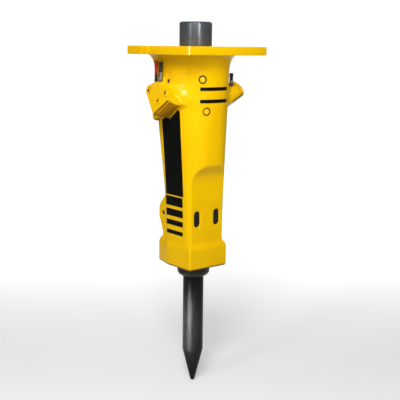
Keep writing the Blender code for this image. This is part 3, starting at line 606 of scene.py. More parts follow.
tiltSine, tiltCosine = math.sin(castShape["bossTilt"]), math.cos(castShape["bossTilt"])
bossSides, bossRounds = ((0.0623, 0.0005), (0.0435, 0.0245), (-0.029, 0.0515)), (0.006, 0.009, 0.010, 0.012)
bossShape = {
    "left": {
        "saddle": 0.042,
        "under": ((-0.140, -0.018, -0.206), (-0.111, -0.062, -0.169), (1.0, 0.0, 0.15)),
        "outline": ((0.0179, -0.0497), *bossSides, (-0.0718, 0.0298)), "rounds": (*bossRounds, 0.014),
    },
    "right": {
        "saddle": 0.014,
        "under": None,
        "outline": ((0.0275, -0.0388), *bossSides, (-0.0906, 0.0203)), "rounds": (*bossRounds, 0.0235),
    },
}


def joined(a, b, fillet):
    # union of two distances with a concave fillet
    u = (fillet - a).most(0.0)
    v = (fillet - b).most(0.0)
    return a.least(b).most(fillet) - length(u, v)


def shared(a, b, edge):
    # intersection of two distances with a rounded edge
    u = (a + edge).most(0.0)
    v = (b + edge).most(0.0)
    return a.most(b).least(-edge) + length(u, v)


def boxSection(x, y, halfWidth, front, rear, frontRound, rearRound):
    centre = (rear - front) * 0.5
    half = (front + rear) * 0.5
    roundness = rearRound + (frontRound - rearRound) * (y < centre)
    u = abs(x) - halfWidth + roundness
    v = abs(y - centre) - half + roundness
    outside = length(u.most(0.0), v.most(0.0))
    return outside + u.most(v).least(0.0) - roundness


def sideDistance(x, y, start, end):
    # signed distance from the line start-end, outside is to its right
    run = Vector(end) - Vector(start)
    normal = Vector((run.y, -run.x)).normalized()
    return x * normal.x + y * normal.y - normal.dot(Vector(start))


def roundedSides(x, y, outline, rounds):
    # largest distance from the sides of an anticlockwise outline, with round corners
    sides = [sideDistance(x, y, outline[i - 1], corner) for i, corner in enumerate(outline)]
    section = sides[0]
    for side in sides[1:]:
        section = section.most(side)
    for i, radius in enumerate(rounds):
        if not radius:
            continue
        here, back, going = cornerAt(outline, i)
        coming = -back
        half = coming.angle(going) / 2
        inward = (going - coming).normalized()
        centre = here + inward * (radius / math.cos(half))
        u, v = x - centre.x, y - centre.y
        beyond = (u * coming.x + v * coming.y > 0.0) * (u * going.x + v * going.y < 0.0)
        section = section + beyond * (length(u, v) - radius - section)
    return section


def bossDistance(x, y, z, size, shape):
    # how far the boss is, and how much of its saddle's extra fillet applies there
    across, up = x + size["Boss reach"], z + size["Boss drop"]
    u = -y
    v = across * tiltSine + up * tiltCosine
    w = up * tiltSine - across * tiltCosine
    section = roundedSides(u, v, shape["outline"], shape["rounds"])
    slab = (w + size["Cover thickness"]).most(-w - size["Boss depth"])
    body = shared(section, slab, size["Boss edge"])
    if shape["under"]:
        # the rear of the underside is cut off flat, behind this edge
        start, end, inwards = [Vector(point) for point in shape["under"]]
        normal = (end - start).cross(inwards).normalized()
        level = normal.dot(start) - (x * normal.x + y * normal.y + z * normal.z)
        body = shared(body, level, castShape["underEdge"])
    return body, ((v - castShape["saddleLevel"]) / castShape["saddleRise"]).clamped()


def castTree():
    graph, size = nodeTree("Cast body", castSizes)
    shape = castShape
    x, y, z = graph.add("GeometryNodeInputPosition").split()
    blockTop = size["Block height"] + blockBottom
    run = ((-z - size["Taper start"]) / (-blockTop - size["Taper start"])).clamped()
    left = (1.0 - run) * (1.0 - run) * (1.0 + size["Taper ease"] * run)

    def between(name, share=left):
        neck, foot = size[f"Neck {name}"], size[f"Foot {name}"]
        return foot + (neck - foot) * share

    shaft = boxSection(x, y, between("half width"), between("front"), between("rear"),
                       between("front round"), between("rear round", left * left))
    under = flangeLow.z - z
    u = (1.0 - shaft / size["Root width"]).most(0.0)
    v = (1.0 - under / size["Root height"]).most(0.0)
    nearest = shaft.least(under * (size["Root width"] / size["Root height"])).most(size["Root width"])
    body = nearest - size["Root width"] * length(u, v)
    body = body.most(z - flangeLow.z - shape["rootLap"]).most(shaft - size["Root width"] - shape["rootCut"])
    body = body.most(blockTop - shape["waistLap"] - z)

    startZ = size["Recess rise"] + barZ
    forward = y + size["Recess face"] + size["Recess run-out"]
    above = (z - startZ).most(0.0)
    recess = length(forward, above) - size["Recess run-out"]
    recess = recess.most(z - startZ - size["Recess run-out"])
    body = shared(body, -recess, size["Recess edge"])

    lobeUp = z - barZ
    lobe = roundedSides(y, lobeUp, shape["lobe"], shape["lobeRounds"])
    foot = sideDistance(y, lobeUp, *shape["lobeFoot"]).most(lobeUp - shape["lobeFootTop"])
    lobe = joined(lobe, foot, shape["lobeHollow"]).most(shape["lobeBottom"] - lobeUp)
    lobe = shared(lobe, abs(x) - size["Lobe half width"], size["Lobe edge"]).most(shape["lobeFront"] - y)
    body = joined(body, lobe, size["Lobe fillet"])

    turn, edge = shape["blockTurn"], size["Block corner"]
    beside = abs(x) - size["Block half width"]
    block = shared(beside, -y - size["Block front"], edge)
    slant = beside * math.cos(turn) + (y - size["Block straight"]) * math.sin(turn)
    block = shared(block, slant, shape["slantEdge"])
    block = shared(block, y - size["Block rear"], edge)
    lean = math.atan2(castSizes["Shoulder inset"], castSizes["Shoulder rise"])
    shoulderZ = blockTop - size["Shoulder rise"]
    shoulder = block * math.cos(lean) + (z - shoulderZ) * math.sin(lean)
    block = shared(block, shoulder, size["Shoulder edge"])
    block = shared(block, blockBottom - z, size["Block edge"])
    body = joined(body, block, size["Shoulder fillet"])

    for side, sign in (("left", 1.0), ("right", -1.0)):
        boss, lift = bossDistance(x * sign, y * sign, z, size, bossShape[side])
        fillet = size["Boss fillet"] + (bossShape[side]["saddle"] - size["Boss fillet"]) * lift
        body = joined(body, boss, fillet)
    hang = (abs(z + size["Knob drop"] - shape["knobHalf"]) - shape["knobHalf"]).most(0.0)
    knob = length(x + size["Knob out"], y - size["Knob behind"], hang) - size["Knob radius"]
    body = joined(body, knob, shape["knobFillet"])

    slotUp = (abs(z - barZ) - (size["Slot half height"] - size["Slot radius"])).most(0.0)
    slot = length(slotUp, abs(x) - size["Slot spacing"]) - size["Slot radius"]
    body = shared(body, -(slot.most(y + shape["slotDepth"])), size["Slot edge"])
    pin = length(z - barZ, y - pinY) - size["Pin hole radius"]
    body = shared(body, -(pin.most(shape["pinDepth"] - abs(x))), size["Pin hole edge"])

    voxel = shape["voxel"]
    pad = Vector((voxel, voxel, voxel)) * 3
    lowest = Vector((flangeLow.x - 0.02, flangeLow.y, blockBottom)) - pad
    highest = Vector((flangeHigh.x + 0.02, flangeHigh.y, 0)) + pad
    counts = [round(side / voxel) for side in highest - lowest]
    volume = graph.add("GeometryNodeVolumeCube", {
        "Density": -body, "Background": -1.0, "Min": lowest, "Max": highest,
        "Resolution X": counts[0], "Resolution Y": counts[1], "Resolution Z": counts[2]})
    skin = graph.add("GeometryNodeVolumeToMesh", {"Volume": volume, "Threshold": 0.0, "Adaptivity": 0.01})
    return endTree(graph, skin, size["Finish"])


boreSizes = {
    "spigot": 0.0443, "cylinder": 0.0314, "foot": 0.0294, "ring": 0.0423, "bushing": 0.0473, "valve": 0.0173,
    "cylinderEnd": 0.0404, "reach": 0.02,
}


def valveBore(bottom):
    return drill(boreSizes["valve"], bottom, boreSizes["reach"], moved(0, middle("valve_plug").y))


def boreCutters():
    # the stepped bore through the whole body, and the valve's bore behind it
    size, reach = boreSizes, boreSizes["reach"]
    cylinderTop, cylinderEnd = low["seal_carrier"].z - seam, low["piston"].z + size["cylinderEnd"]
    ringSeat, bushTop = high["thrust_ring"].z + seam, high["lower_bushing"].z + seam
    valve = valveBore(low["valve_sleeve"].z - seam)
    bore = turned("bore", stepped(
        (size["spigot"], reach, cylinderTop), (size["cylinder"], cylinderTop, cylinderEnd),
        (size["foot"], cylinderEnd, ringSeat), (size["ring"], ringSeat, bushTop),
        (size["bushing"], bushTop, blockBottom - reach)))
    return bore, valve


notchSizes = {"radius": 0.0225, "depth": 0.040, "shift": 0.0505, "out": 0.02, "bottom": -0.050}


def notchCutters():
    size = notchSizes
    radius, out = size["radius"], size["out"]
    outline = arc(radius, -math.pi / 2, math.pi / 2, 24, (size["depth"] - radius, 0))
    outline += [(-out, radius), (-out, -radius)]
    places = [turn @ moved(flangeLow.x, size["shift"]) for turn in turns.values()]
    return [slab("notch", outline, size["bottom"], out, place=place) for place in places]


def darkenedInside(thing, holes):
    # dark brown on the faces inside round holes, each given by its place, radius, floor and mouth
    thing.data.materials.append(socketDirt)
    slack = 0.0001
    for place, radius, floor, mouth in holes:
        back = place.inverted()
        for face in thing.data.polygons:
            centre = back @ face.center
            if math.hypot(centre.x, centre.y) < radius + slack and floor - slack < centre.z < mouth:
                face.material_index = 1
    return thing


def mountingReach(nodeName, direction):
    # how far a CAD solid reaches in a direction
    node = frame["nodes"][nodeName]
    return max((node.matrix_world @ vertex.co).dot(direction) for vertex in node.data.vertices)


portSizes = {
    "places": {
        "front_plug_upper": (math.radians(26.4), -0.096), "front_plug_lower": (math.radians(18.4), -0.1895)},
    "bore": 0.0124, "rim": 0.0004, "out": 0.02, "seat": 0.0157, "seatGap": 0.0005, "dirtTop": 0.001,
    "head": 0.0088, "headHeight": 0.007, "edge": 0.0016, "socket": 0.0046, "socketDepth": 0.0016,
    "dirtShare": 0.4,
}


def portPlace(name):
    # an axis out of the neck, and how far the plug's face stands along it
    angle, level = portSizes["places"][name]
    out = Vector((-math.sin(angle), -math.cos(angle), 0))
    place = moved(0, 0, level) @ Matrix.Rotation(-angle, 4, "Z") @ alongY
    return place, mountingReach(name, out)


def portCutter(name):
    size = portSizes
    place, face = portPlace(name)
    bore, rim = size["bore"], size["rim"]
    inside = (bore, face - size["seat"], face - rim * 0.3)
    outside = (bore + rim * 1.6, face + rim * 1.3, face + size["out"])
    return turned("port", stepped(inside, outside), place)


spotHeight = 0.014
spotSeats = (("port_adapter", 0.0092, 0.014), ("test_port", 0.0072, 0.012), ("bleed_plug", 0.0080, 0.0097))


def spotCutters():
    # machined seats under the fittings on the bosses
    cutters = []
    for side in turns:
        for name, spot, stub in spotSeats:
            nodeName = f"{name}_{side}"
            seat = low[nodeName].z + stub
            place = moved(*middle(nodeName).xy)
            cutters.append(turned("spot", stepped((spot, seat + spotHeight, seat)), place, steps=48))
    return cutters


crossSizes = {"bushPin": 0.0073, "bushPinFrom": -0.030, "grease": 0.0058, "greaseFrom": 0.03, "slot": 0.0963}
through = 0.2


def crossDrill(radius, nodeName, start=-through):
    # a hole along X through the middle of a node
    place = moved(0, middle(nodeName).y, middle(nodeName).z) @ alongX
    return drill(radius, start, through, place)


def crossCutters():
    # slots of the bars, the lock pin's hole, the bushing pin's and the grease nipple's
    size = crossSizes
    outline = capsule(castSizes["Slot radius"], castSizes["Slot half height"])
    places = [moved(side * castSizes["Slot spacing"], 0, barZ) @ alongY for side in (-1, 1)]
    return [
        *[slab("slot", outline, -size["slot"], through, place=place) for place in places],
        crossDrill(castSizes["Pin hole radius"], "lock_pin"),
        crossDrill(size["bushPin"], "bushing_pin", size["bushPinFrom"]),
        crossDrill(size["grease"], "grease_nipple", size["greaseFrom"])]


castBody = plainMesh("castBody", castTree(), {"Finish": paint})
report(f"cast skin: {len(castBody.data.polygons)} faces")
portCutters = [portCutter(name) for name in portSizes["places"]]
carved(castBody, *boreCutters(), *crossCutters(), *spotCutters(), *portCutters, sharp=math.radians(40))
darkenedInside(castBody, [
    (place, portSizes["bore"], face - portSizes["seat"], face - portSizes["dirtTop"])
    for place, face in map(portPlace, portSizes["places"])])
fitted(castBody, "breaker_body")
report(f"cast body: {len(castBody.data.polygons)} faces")


# adapter flange: a machined plate with chamfered holes

flangeSizes = {"corner": 0.004, "edge": 0.0018, "inset": 0.033, "hole": 0.013, "chamfer": 0.0012}


def makeFlange():
    size = flangeSizes
    (left, front, bottom), (right, rear, top) = flangeLow, flangeHigh
    corners = [(left, front), (right, front), (right, rear), (left, rear)]
    outline = eased([(x, y, size["corner"]) for x, y in corners], 5)
    plate = slab("adapterFlange", outline, bottom, top, size["edge"], look=paint, steps=4)
    hole, chamfer, reach = size["hole"], size["chamfer"], boreSizes["reach"]
    profile = stepped(
        (hole + chamfer, bottom - past, bottom), (hole, bottom + chamfer, top - chamfer),
        (hole + chamfer, top, top + past))
    cutters = notchCutters()
    for x in (left + size["inset"], right - size["inset"]):
        for y in (front + size["inset"], rear - size["inset"]):
            cutters.append(turned("bolt", profile, moved(x, y), steps=64))
    cutters.append(drill(boreSizes["spigot"], bottom - reach, reach, sides=96))
    return carved(plate, *cutters, valveBore(bottom - reach))


fitted(makeFlange(), "adapter_flange")
report("adapter flange ready")


# gas cap and charging valve

gasSizes = {
    "spigot": 0.044, "spigotBottom": -0.060, "chamber": 0.034, "roof": 0.050, "valveHole": 0.0083,
    "bevel": 0.0040, "bevelEase": 0.0016, "ease": 0.0008,
}
valveSizes = {"hex": 0.0078, "edge": 0.0008, "socket": 0.0030, "socketDepth": 0.006}


def makeGasCap():
    size = gasSizes
    radius, top, ease = width("gas_cap") / 2, high["gas_cap"].z, size["ease"]
    hole, spigot, bevel, bevelEase = size["valveHole"], size["spigot"], size["bevel"], size["bevelEase"]
    mouth = [(hole, top - ease), (hole + ease, top)]
    rim = eased([
        mouth[1], (radius - bevel, top, bevelEase), (radius, top - bevel, bevelEase),
        (radius, seam, ease), (spigot, seam)])
    under = [(spigot, size["spigotBottom"]), (size["chamber"], size["spigotBottom"])]
    under += [(size["chamber"], size["roof"]), (hole, size["roof"])]
    return turned("gasCap", mouth + rim[1:] + under, look=capGrey, steps=128)


def makeChargingValve():
    size, top = valveSizes, high["charging_valve"].z
    body = slab("chargingValve", ring(6, size["hex"]), low["charging_valve"].z, top, size["edge"], look=zinc)
    return carved(body, drill(size["socket"], top - size["socketDepth"], top + past, sides=6))


fitted(makeGasCap(), "gas_cap")
fitted(makeChargingValve(), "charging_valve")
report("gas cap ready")


# lower bushing with its collar, and the dust wiper in its mouth

bushSizes = {
    "guide": 0.0329, "outer": 0.0470, "collar": 0.051, "collarEdge": 0.001, "collarLength": 0.017,
    "cone": 0.017, "coneAngle": math.radians(-72), "mouthEdge": 0.0008, "lip": 0.0045,
    "wiperHeight": 0.006, "wiperLip": 0.003, "lipWidths": (0.0016, 0.0006),
}
collarTop = blockBottom - seam
coneTop = collarTop - bushSizes["collarLength"]
nose = coneTop - bushSizes["cone"]


def makeLowerBushing():
    size, top = bushSizes, high["lower_bushing"].z
    guide, radius, cone, edge = size["guide"], size["collar"], size["cone"], size["mouthEdge"]
    mouth, wiperTop = guide + size["lip"], nose + size["wiperHeight"]
    profile = [(guide, top), (size["outer"], top), (size["outer"], collarTop)]
    profile += [(radius - size["collarEdge"], collarTop), (radius, collarTop - size["collarEdge"])]
    profile += arc(cone, 0, size["coneAngle"], 12, (radius - cone, coneTop))
    profile += [(mouth + edge, nose), (mouth, nose + edge), (mouth, wiperTop), (guide, wiperTop)]
    bush = turned("lowerBushing", profile, look=darkSteel, steps=128)
    return carved(bush, crossDrill(crossSizes["bushPin"], "bushing_pin"))


def makeDustWiper():
    size, inner, lip = bushSizes, bushSizes["guide"], bushSizes["wiperLip"]
    outer, top = inner + size["lip"] - seam, nose + size["wiperHeight"] - seam
    wide, narrow = size["lipWidths"]
    profile = [(inner, top), (outer, top), (outer, nose - lip / 3), (inner + wide, nose - lip * 0.7)]
    profile += [(inner + narrow, nose - lip), (inner, nose - lip * 0.9)]
    return turned("dustWiper", profile, look=rubber)


fitted(makeLowerBushing(), "lower_bushing")
fitted(makeDustWiper(), "dust_wiper")
report("lower bushing ready")


# working tool: turned shank with a flat for each bar, and a forged point

toolSizes = {
    "radius": 0.0325, "chamfer": 0.0055, "breaks": 0.0012,
    "tip": 0.0065, "tipRise": 0.6, "tipEase": 0.003, "slope": 0.25, "pointEase": 0.02,
    "flatGrowth": 0.0003, "flatReach": 0.06, "travel": 0.050,
}


def makeTool():
    size = toolSizes
    radius, chamfer, breaks, tip = size["radius"], size["chamfer"], size["breaks"], size["tip"]
    top, bottom = high["working_tool"].z, low["working_tool"].z
    tipTop = bottom + tip * size["tipRise"]
    pointTop = tipTop + (radius - tip) / size["slope"]
    outline = eased([
        (0, top), (radius - chamfer, top, breaks), (radius, top - chamfer, breaks),
        (radius, pointTop, size["pointEase"]), (tip, tipTop, size["tipEase"]), (0, bottom)], 8)
    shank = turned("workingTool", [(0, top), *outline[1:-1], (0, bottom)], look=toolSteel, steps=128)
    growth, reach = size["flatGrowth"], size["flatReach"]
    slot = capsule(width(barNames[0]) / 2 + growth, tall(barNames[0]) / 2 + growth)
    flat = [(x, y if y > 0 else y - size["travel"]) for x, y in slot]
    places = [moved(middle(nodeName).x, 0, barZ) @ alongY for nodeName in barNames]
    return carved(shank, *[slab("flat", flat, -reach, reach, place=place) for place in places])


fitted(makeTool(), "working_tool", body="tool")
report("tool ready")


# retainer bars

barSizes = {"edge": 0.0020, "eye": 0.0080, "eyeReach": 0.1}


def makeBar(nodeName):
    front, rear, reach = -low[nodeName].y, -high[nodeName].y, barSizes["eyeReach"]
    outline = capsule(width(nodeName) / 2, tall(nodeName) / 2, 20)
    place = moved(middle(nodeName).x, 0, middle(nodeName).z) @ alongY
    bar = slab(camel(nodeName), outline, rear, front, barSizes["edge"], place, darkSteel)
    return carved(bar, drill(barSizes["eye"], -reach, reach, moved(0, pinY, barZ) @ alongX))


for nodeName in barNames:
    fitted(makeBar(nodeName), nodeName)


# boss covers with their screws

bossPlace = moved(-castSizes["Boss reach"], 0, -castSizes["Boss drop"]) @ Matrix((
    (0, tiltSine, -tiltCosine, 0), (-1, 0, 0, 0), (0, tiltCosine, tiltSine, 0), (0, 0, 0, 1)))
coverSizes = {
    "thickness": 0.010, "edge": 0.0012, "screws": ((-0.047, 0.0215), (0.0364, 0.0176), (0.0155, -0.0081)),
    "counterbore": 0.0083, "counterboreDepth": 0.0073, "chamfer": 0.0008, "screwHole": 0.0053,
    "holeEnd": -0.02, "markRadius": 0.0020, "markDepth": 0.0040, "markShift": (0.0135, -0.0098),
}


def makeCover(side):
    size, shape = coverSizes, bossShape[side]
    corners = [(*corner, radius) for corner, radius in zip(shape["outline"], shape["rounds"])]
    place = turns[side] @ bossPlace
    name, depth = camel(f"boss_cover_{side}"), size["thickness"]
    cover = slab(name, eased(corners, 8), -depth, 0, size["edge"], place, paint)
    bore, chamfer, seat = size["counterbore"], size["chamfer"], -size["counterboreDepth"]
    profile = stepped(
        (bore + chamfer, past, 0.0), (bore, -chamfer, seat), (size["screwHole"], seat, size["holeEnd"]))
    cutters, marks = [], []
    radius, floor = size["markRadius"], -size["markDepth"]
    for screw in size["screws"]:
        here = place @ moved(*screw)
        mark = place @ moved(*[along + shift for along, shift in zip(screw, size["markShift"])])
        cutters += [turned("counterbore", profile, here, steps=48), drill(radius, floor, past, mark, 16)]
        marks.append((mark, radius, floor, -seam))
    return darkenedInside(carved(cover, *cutters), marks)


screwSizes = {
    "top": -0.001, "head": 0.008, "headHeight": 0.007, "shank": 0.005, "length": 0.026, "edge": 0.0012,
    "socket": 0.0047, "socketDepth": 0.0050, "cleanShare": 0.02,
}


def socketHead(nodeName, place, size, top, under, neck, bottom, steps):
    # a round head with a broken edge and a hexagon socket, on a neck
    head, edge = size["head"], size["edge"]
    profile = [(0, top), (head - edge, top), (head - edge * 0.3, top - edge * 0.3), (head, top - edge)]
    profile += [(head, under), (neck, under), (neck, bottom), (0, bottom)]
    socket = drill(size["socket"], top - size["socketDepth"], top + past, place, 6)
    return carved(turned(camel(nodeName), profile, place, paint, steps), socket)


def makeScrew(nodeName, place):
    size, top, depth = screwSizes, screwSizes["top"], screwSizes["socketDepth"]
    screw = socketHead(nodeName, place, size, top, -size["headHeight"], size["shank"], -size["length"], 48)
    return darkenedInside(screw, [(place, size["socket"], top - depth, top - depth * size["cleanShare"])])


for side, turn in turns.items():
    fitted(makeCover(side), f"boss_cover_{side}")
    for number, screw in enumerate(coverSizes["screws"], 1):
        nodeName = f"cover_screw_{side}_{number}"
        fitted(makeScrew(nodeName, turn @ bossPlace @ moved(*screw)), nodeName)
report("boss covers ready")


# socket plugs of the front ports

def makePlug(nodeName):
    size = portSizes
    place, face = portPlace(nodeName)
    bottom, under = face - size["seat"] + size["seatGap"], face - size["headHeight"]
    plug = socketHead(nodeName, place, size, face, under, size["bore"] - seam, bottom, 64)
    return darkenedInside(plug, [(place, size["bore"], bottom, face - size["headHeight"] * size["dirtShare"])])


for nodeName in portSizes["places"]:
    fitted(makePlug(nodeName), nodeName)


# fittings on the bosses: hexagon adapters, ribbed caps, test ports and bleed plugs

capTreeSizes = {
    "Radius": 0.006, "Height": 0.0235, "Edge": 0.0012, "Ribs": 16, "Rib radius": 0.0005, "Rib share": 0.50,
    "Crown": 0.0022, "Waist level": 0.62, "Waist reach": 0.0012, "Waist depth": 0.10,
}


def cylinder(graph, corners, segments, radius, height):
    inputs = {"Vertices": corners, "Side Segments": segments, "Radius": radius, "Depth": height}
    return graph.add("GeometryNodeMeshCylinder", inputs, {"fill_type": "NGON"})


def capTree():
    # a turned cap with ribs round its side
    graph, size = nodeTree("Ribbed cap", capTreeSizes)
    core = size["Radius"] - size["Rib radius"]
    shell = cylinder(graph, 48, 24, core, size["Height"])
    x, y, z = graph.add("GeometryNodeInputPosition").split()
    fromTop = size["Height"] * 0.5 - z
    into = (1.0 - fromTop / size["Crown"]).most(0.0)
    share = 1.0 - size["Edge"] / core * into * into
    waist = (1.0 - abs(fromTop - size["Height"] * size["Waist level"]) / size["Waist reach"]).most(0.0)
    share = share - waist * size["Waist depth"]
    offset = graph.add("ShaderNodeCombineXYZ", {0: x * share, 1: y * share, 2: z})
    shell = graph.add("GeometryNodeSetPosition", {"Geometry": shell, "Position": offset})
    spots = graph.add("GeometryNodeMeshCircle", {"Vertices": size["Ribs"], "Radius": core})
    ribHeight = size["Height"] * size["Rib share"] - size["Crown"]
    rib = cylinder(graph, 8, 1, size["Rib radius"], ribHeight)
    lift = graph.add("ShaderNodeCombineXYZ", {2: size["Height"] * 0.5 - size["Crown"] - ribHeight * 0.5})
    ribs = graph.add("GeometryNodeInstanceOnPoints", {"Points": spots, "Instance": rib})
    ribs = graph.add("GeometryNodeTranslateInstances", {"Instances": ribs, "Translation": lift})
    both = graph.add("GeometryNodeJoinGeometry", {"Geometry": shell})
    graph.tree.links.new(ribs.socket, both.socket.node.inputs[0])
    whole = graph.add("GeometryNodeRealizeInstances", {"Geometry": both})
    return endTree(graph, whole, size["Finish"])


fittingSizes = {
    "port_adapter": {"radius": 0.0075, "stub": 0.014, "neck": 0.0060},
    "test_port": {"radius": 0.0055, "stub": 0.012, "neck": 0.0044},
    "share": 0.62, "stubInset": 0.0013, "edge": 0.0006,
}


def makeFitting(name, side, look):
    # a hexagon body on its seat, a turned neck above it and a stub down its hole
    size, nodeName = fittingSizes[name], f"{name}_{side}"
    bottom, top = low[nodeName].z, high[nodeName].z
    seat = bottom + size["stub"] + seam
    flat = seat + (top - seat) * fittingSizes["share"]
    radius, neck, edge = size["radius"], size["neck"], fittingSizes["edge"]
    here = moved(*middle(nodeName).xy)
    body = slab(camel(nodeName), ring(6, radius), seat, flat, edge, here, look)
    upper = [(0, flat), (neck, flat), (neck, top - edge), (neck - edge, top), (0, top)]
    lower = stepped((radius - fittingSizes["stubInset"], seat, bottom))
    bm = bmesh.new()
    bm.from_mesh(body.data)
    for extra in (turned("neck", upper, here, steps=40), turned("stub", lower, here, steps=32)):
        bm.from_mesh(extra.data)
        bpy.data.objects.remove(extra, do_unlink=True)
    bm.to_mesh(body.data)
    bm.free()
    body.data.set_sharp_from_angle(angle=sharpAngle)
    return body


bleedSizes = {"hex": 0.0045, "capRise": 0.014, "edge": 0.0007, "hole": 0.0016, "holeDepth": 0.005}


def makeBleedPlug(side):
    size, nodeName = bleedSizes, f"bleed_plug_{side}"
    here = moved(*middle(nodeName).xy)
    bottom, top = low[nodeName].z, high[nodeName].z + size["capRise"]
    plug = slab(camel(nodeName), ring(6, size["hex"]), bottom, top, size["edge"], here, plugRed)
    return carved(plug, drill(size["hole"], top - size["holeDepth"], top + past, here, 16))


ribbed = capTree()
capRibs = {"port_cap": 18, "test_port_cap": 14}
capSlack, capSharp = 0.00005, math.radians(38)
for side in turns:
    for name, ribs in capRibs.items():
        red = name == "test_port_cap" and side == "left"
        look, slotName = (redPlastic, "red_plastic") if red else (blackPlastic, "black_plastic")
        nodeName = f"{name}_{side}"
        cap = plainMesh(camel(nodeName), ribbed, {
            "Radius": width(nodeName) / 2 - capSlack, "Height": tall(nodeName), "Ribs": ribs, "Finish": look})
        cap.data.transform(Matrix.Translation(middle(nodeName)))
        cap.data.set_sharp_from_angle(angle=capSharp)
        fitted(cap, nodeName)
    fitted(makeFitting("port_adapter", side, zinc), f"port_adapter_{side}")
    fitted(makeFitting("test_port", side, blackPlastic), f"test_port_{side}")
    fitted(makeBleedPlug(side), f"bleed_plug_{side}")
report("fittings ready")


# grease nipple: a ball head on a thread; each ring is (radius, distance from its end)

nippleSizes = {
    "thread": ((0.0046, 0), (0.0049, 0.0005)),
    "head": (
        (0.0049, 0.008), (0.0024, 0.0064), (0.00192, 0.0036), (0.0027, 0.0028), (0.00285, 0.0014),
        (0.0015, 0)),
}


def makeGreaseNipple():
    nipple = "grease_nipple"
    place = moved(low[nipple].x, 0, middle(nipple).z) @ alongX
    head = [(radius, width(nipple) - back) for radius, back in nippleSizes["head"]]
    profile = [(0, 0), *nippleSizes["thread"], *head, (0, width(nipple))]
    return turned("greaseNipple", profile, place, zinc, 32)


fitted(makeGreaseNipple(), "grease_nipple")
report("grease nipple ready")


# solids that keep their shape get their materials

innerLooks = (
    (groundSteel, "seal_carrier piston valve_sleeve valve_spool"),
    (darkSteel, "thrust_ring"),
    (bronze, "upper_bushing"),
    (zinc, "valve_plug bushing_pin lock_pin"),
    (rubber, "gas_seal oil_seal piston_seal lock_pin_plug_left lock_pin_plug_right"),
)
for look, nodeNames in innerLooks:
    for nodeName in nodeNames.split():
        node = frame["nodes"][nodeName]
        if not node.data.materials:
            node.data.materials.append(look)
        for slot in node.material_slots:
            slot.material = look
report("materials of the inner solids set")


# camera, lights and floor

view = {
    "distance": 2.5393, "aside": 0.0185, "lens": 74.53,
    "azimuth": math.radians(-39.31), "pitch": math.radians(10.514), "roll": math.radians(0.66),
}
# of the camera's azimuth
sine, cosine = math.sin(view["azimuth"]), math.cos(view["azimuth"])


def placeCamera():
    data = bpy.data.cameras.new("camera")
    data.lens = view["lens"]
    camera = shown("camera", data)
    back, right = Vector((sine, -cosine, 0)), Vector((cosine, sine, 0))
    place = Matrix.Translation(back * view["distance"] + right * view["aside"])
    place = place @ Matrix.Rotation(view["azimuth"], 4, "Z")
    place = place @ Matrix.Rotation(math.pi / 2 - view["pitch"], 4, "X")
    camera.matrix_world = place @ Matrix.Rotation(view["roll"], 4, "Z")
    bpy.context.scene.camera = camera


# each light is (azimuth from the front towards the right, height, distance, width, tall, power, height it
# points at, spread in degrees)
lights = {
    "key": (-45, 1.35, 2.5, 1.1, 1.1, 74, -0.45, 180),
    "leftStrip": (-77, 0.55, 2.0, 0.30, 1.6, 8, -0.45, 180),
    "rightStrip": (-14, 0.55, 2.0, 0.14, 1.6, 1.1, 0.22, 34),
    "footStrip": (-77, -0.97, 1.0, 0.30, 0.12, 1.15, -0.868, 12),
    "rim": (100, 0.9, 2.4, 0.5, 1.2, 3, -0.45, 180),
}


def placeLights():
    for name, (azimuth, height, distance, wide, tall, power, aim, spread) in lights.items():
        data = bpy.data.lights.new(name, "AREA")
        data.shape = "RECTANGLE"
        data.size, data.size_y = wide, tall
        data.energy = power
        data.spread = math.radians(spread)
        light = shown(name, data)
        angle = math.radians(azimuth)
        place = Vector((math.sin(angle) * distance, -math.cos(angle) * distance, height))
        light.location = place
        light.rotation_euler = (Vector((0, 0, aim)) - place).to_track_quat("-Z", "Y").to_euler()


skyStops = {"front": 0.14, "behind": 1.05, "start": 0.88, "end": 0.945}


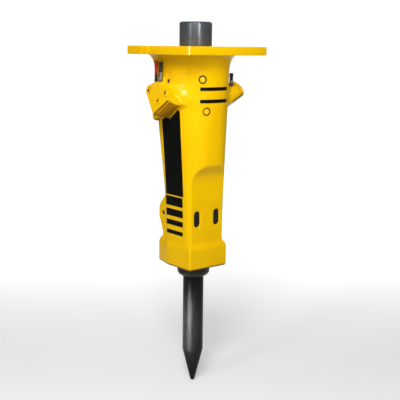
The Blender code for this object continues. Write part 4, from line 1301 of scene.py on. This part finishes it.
def makeSky():
    # a room that is white behind the object and dimmer in front of it
    sky = skyStops
    world = bpy.data.worlds.new("studio")
    world.use_nodes = True
    graph = Graph(world.node_tree)
    direction = graph.add("ShaderNodeTexCoord").out("Generated")
    level = math.cos(view["pitch"])
    away = Vector((-sine * level, cosine * level, -math.sin(view["pitch"])))
    dot = {"operation": "DOT_PRODUCT"}
    toward = graph.add("ShaderNodeVectorMath", {0: direction, 1: away}, dot, output=1)
    share = smoothly(toward, sky["start"], sky["end"])
    strength = share * (sky["behind"] - sky["front"]) + sky["front"]
    background = world.node_tree.nodes["Background"]
    background.inputs["Color"].default_value = (1, 1, 1, 1)
    world.node_tree.links.new(strength.socket, background.inputs["Strength"])
    bpy.context.scene.world = world


# a painted glow and lighter colour on the floor: pale and glowing where it is seen behind the object, greyer
# beside and in front of it
floorLook = {
    "pale": (0.80, 0.80, 0.80), "side": (0.45, 0.45, 0.45), "nearGlow": (0.30, 0.30, 0.30),
    "size": 16, "front": 0.19, "halfWidth": 0.66, "spread": 0.27, "soft": 0.60, "far": 2.2,
}


def makeFloor():
    look, half, level = floorLook, floorLook["size"] / 2, low["working_tool"].z
    corners = [(x, y, level) for x, y in ((-half, -half), (half, -half), (half, half), (-half, half))]
    mesh = bpy.data.meshes.new("floor")
    mesh.from_pydata(corners, [], [(0, 1, 2, 3)])
    finish = Finish("floorLook", look["side"], Roughness=0.9, Emission_Strength=1.0, Specular_IOR_Level=0.2)
    x, y, _ = finish.place.split()
    along = y * cosine - x * sine
    across = abs(x * cosine + y * sine)
    wedge = smoothly(along * look["spread"] + look["halfWidth"] - across, -look["soft"], 0.0)
    near = smoothly(along, -look["front"] - look["soft"], -look["front"]) * wedge
    far = smoothly(along, 0.0, look["far"]) * wedge
    finish.tint(near, look["pale"])
    # painted glow: faint near the object, full white far behind it
    glow = blended(near, (0, 0, 0, 1), (*look["nearGlow"], 1))
    finish.feed("Emission Color", blended(far, glow, (1, 1, 1, 1)))
    mesh.materials.append(finish.material)
    shown("floor", mesh)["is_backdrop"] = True


placeCamera()
placeLights()
makeSky()
makeFloor()
bpy.context.scene.view_settings.view_transform = "Standard"

visualBox = [list(corner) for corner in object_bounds()]
report(f"CAD box {cadBox}, visual box {visualBox}")
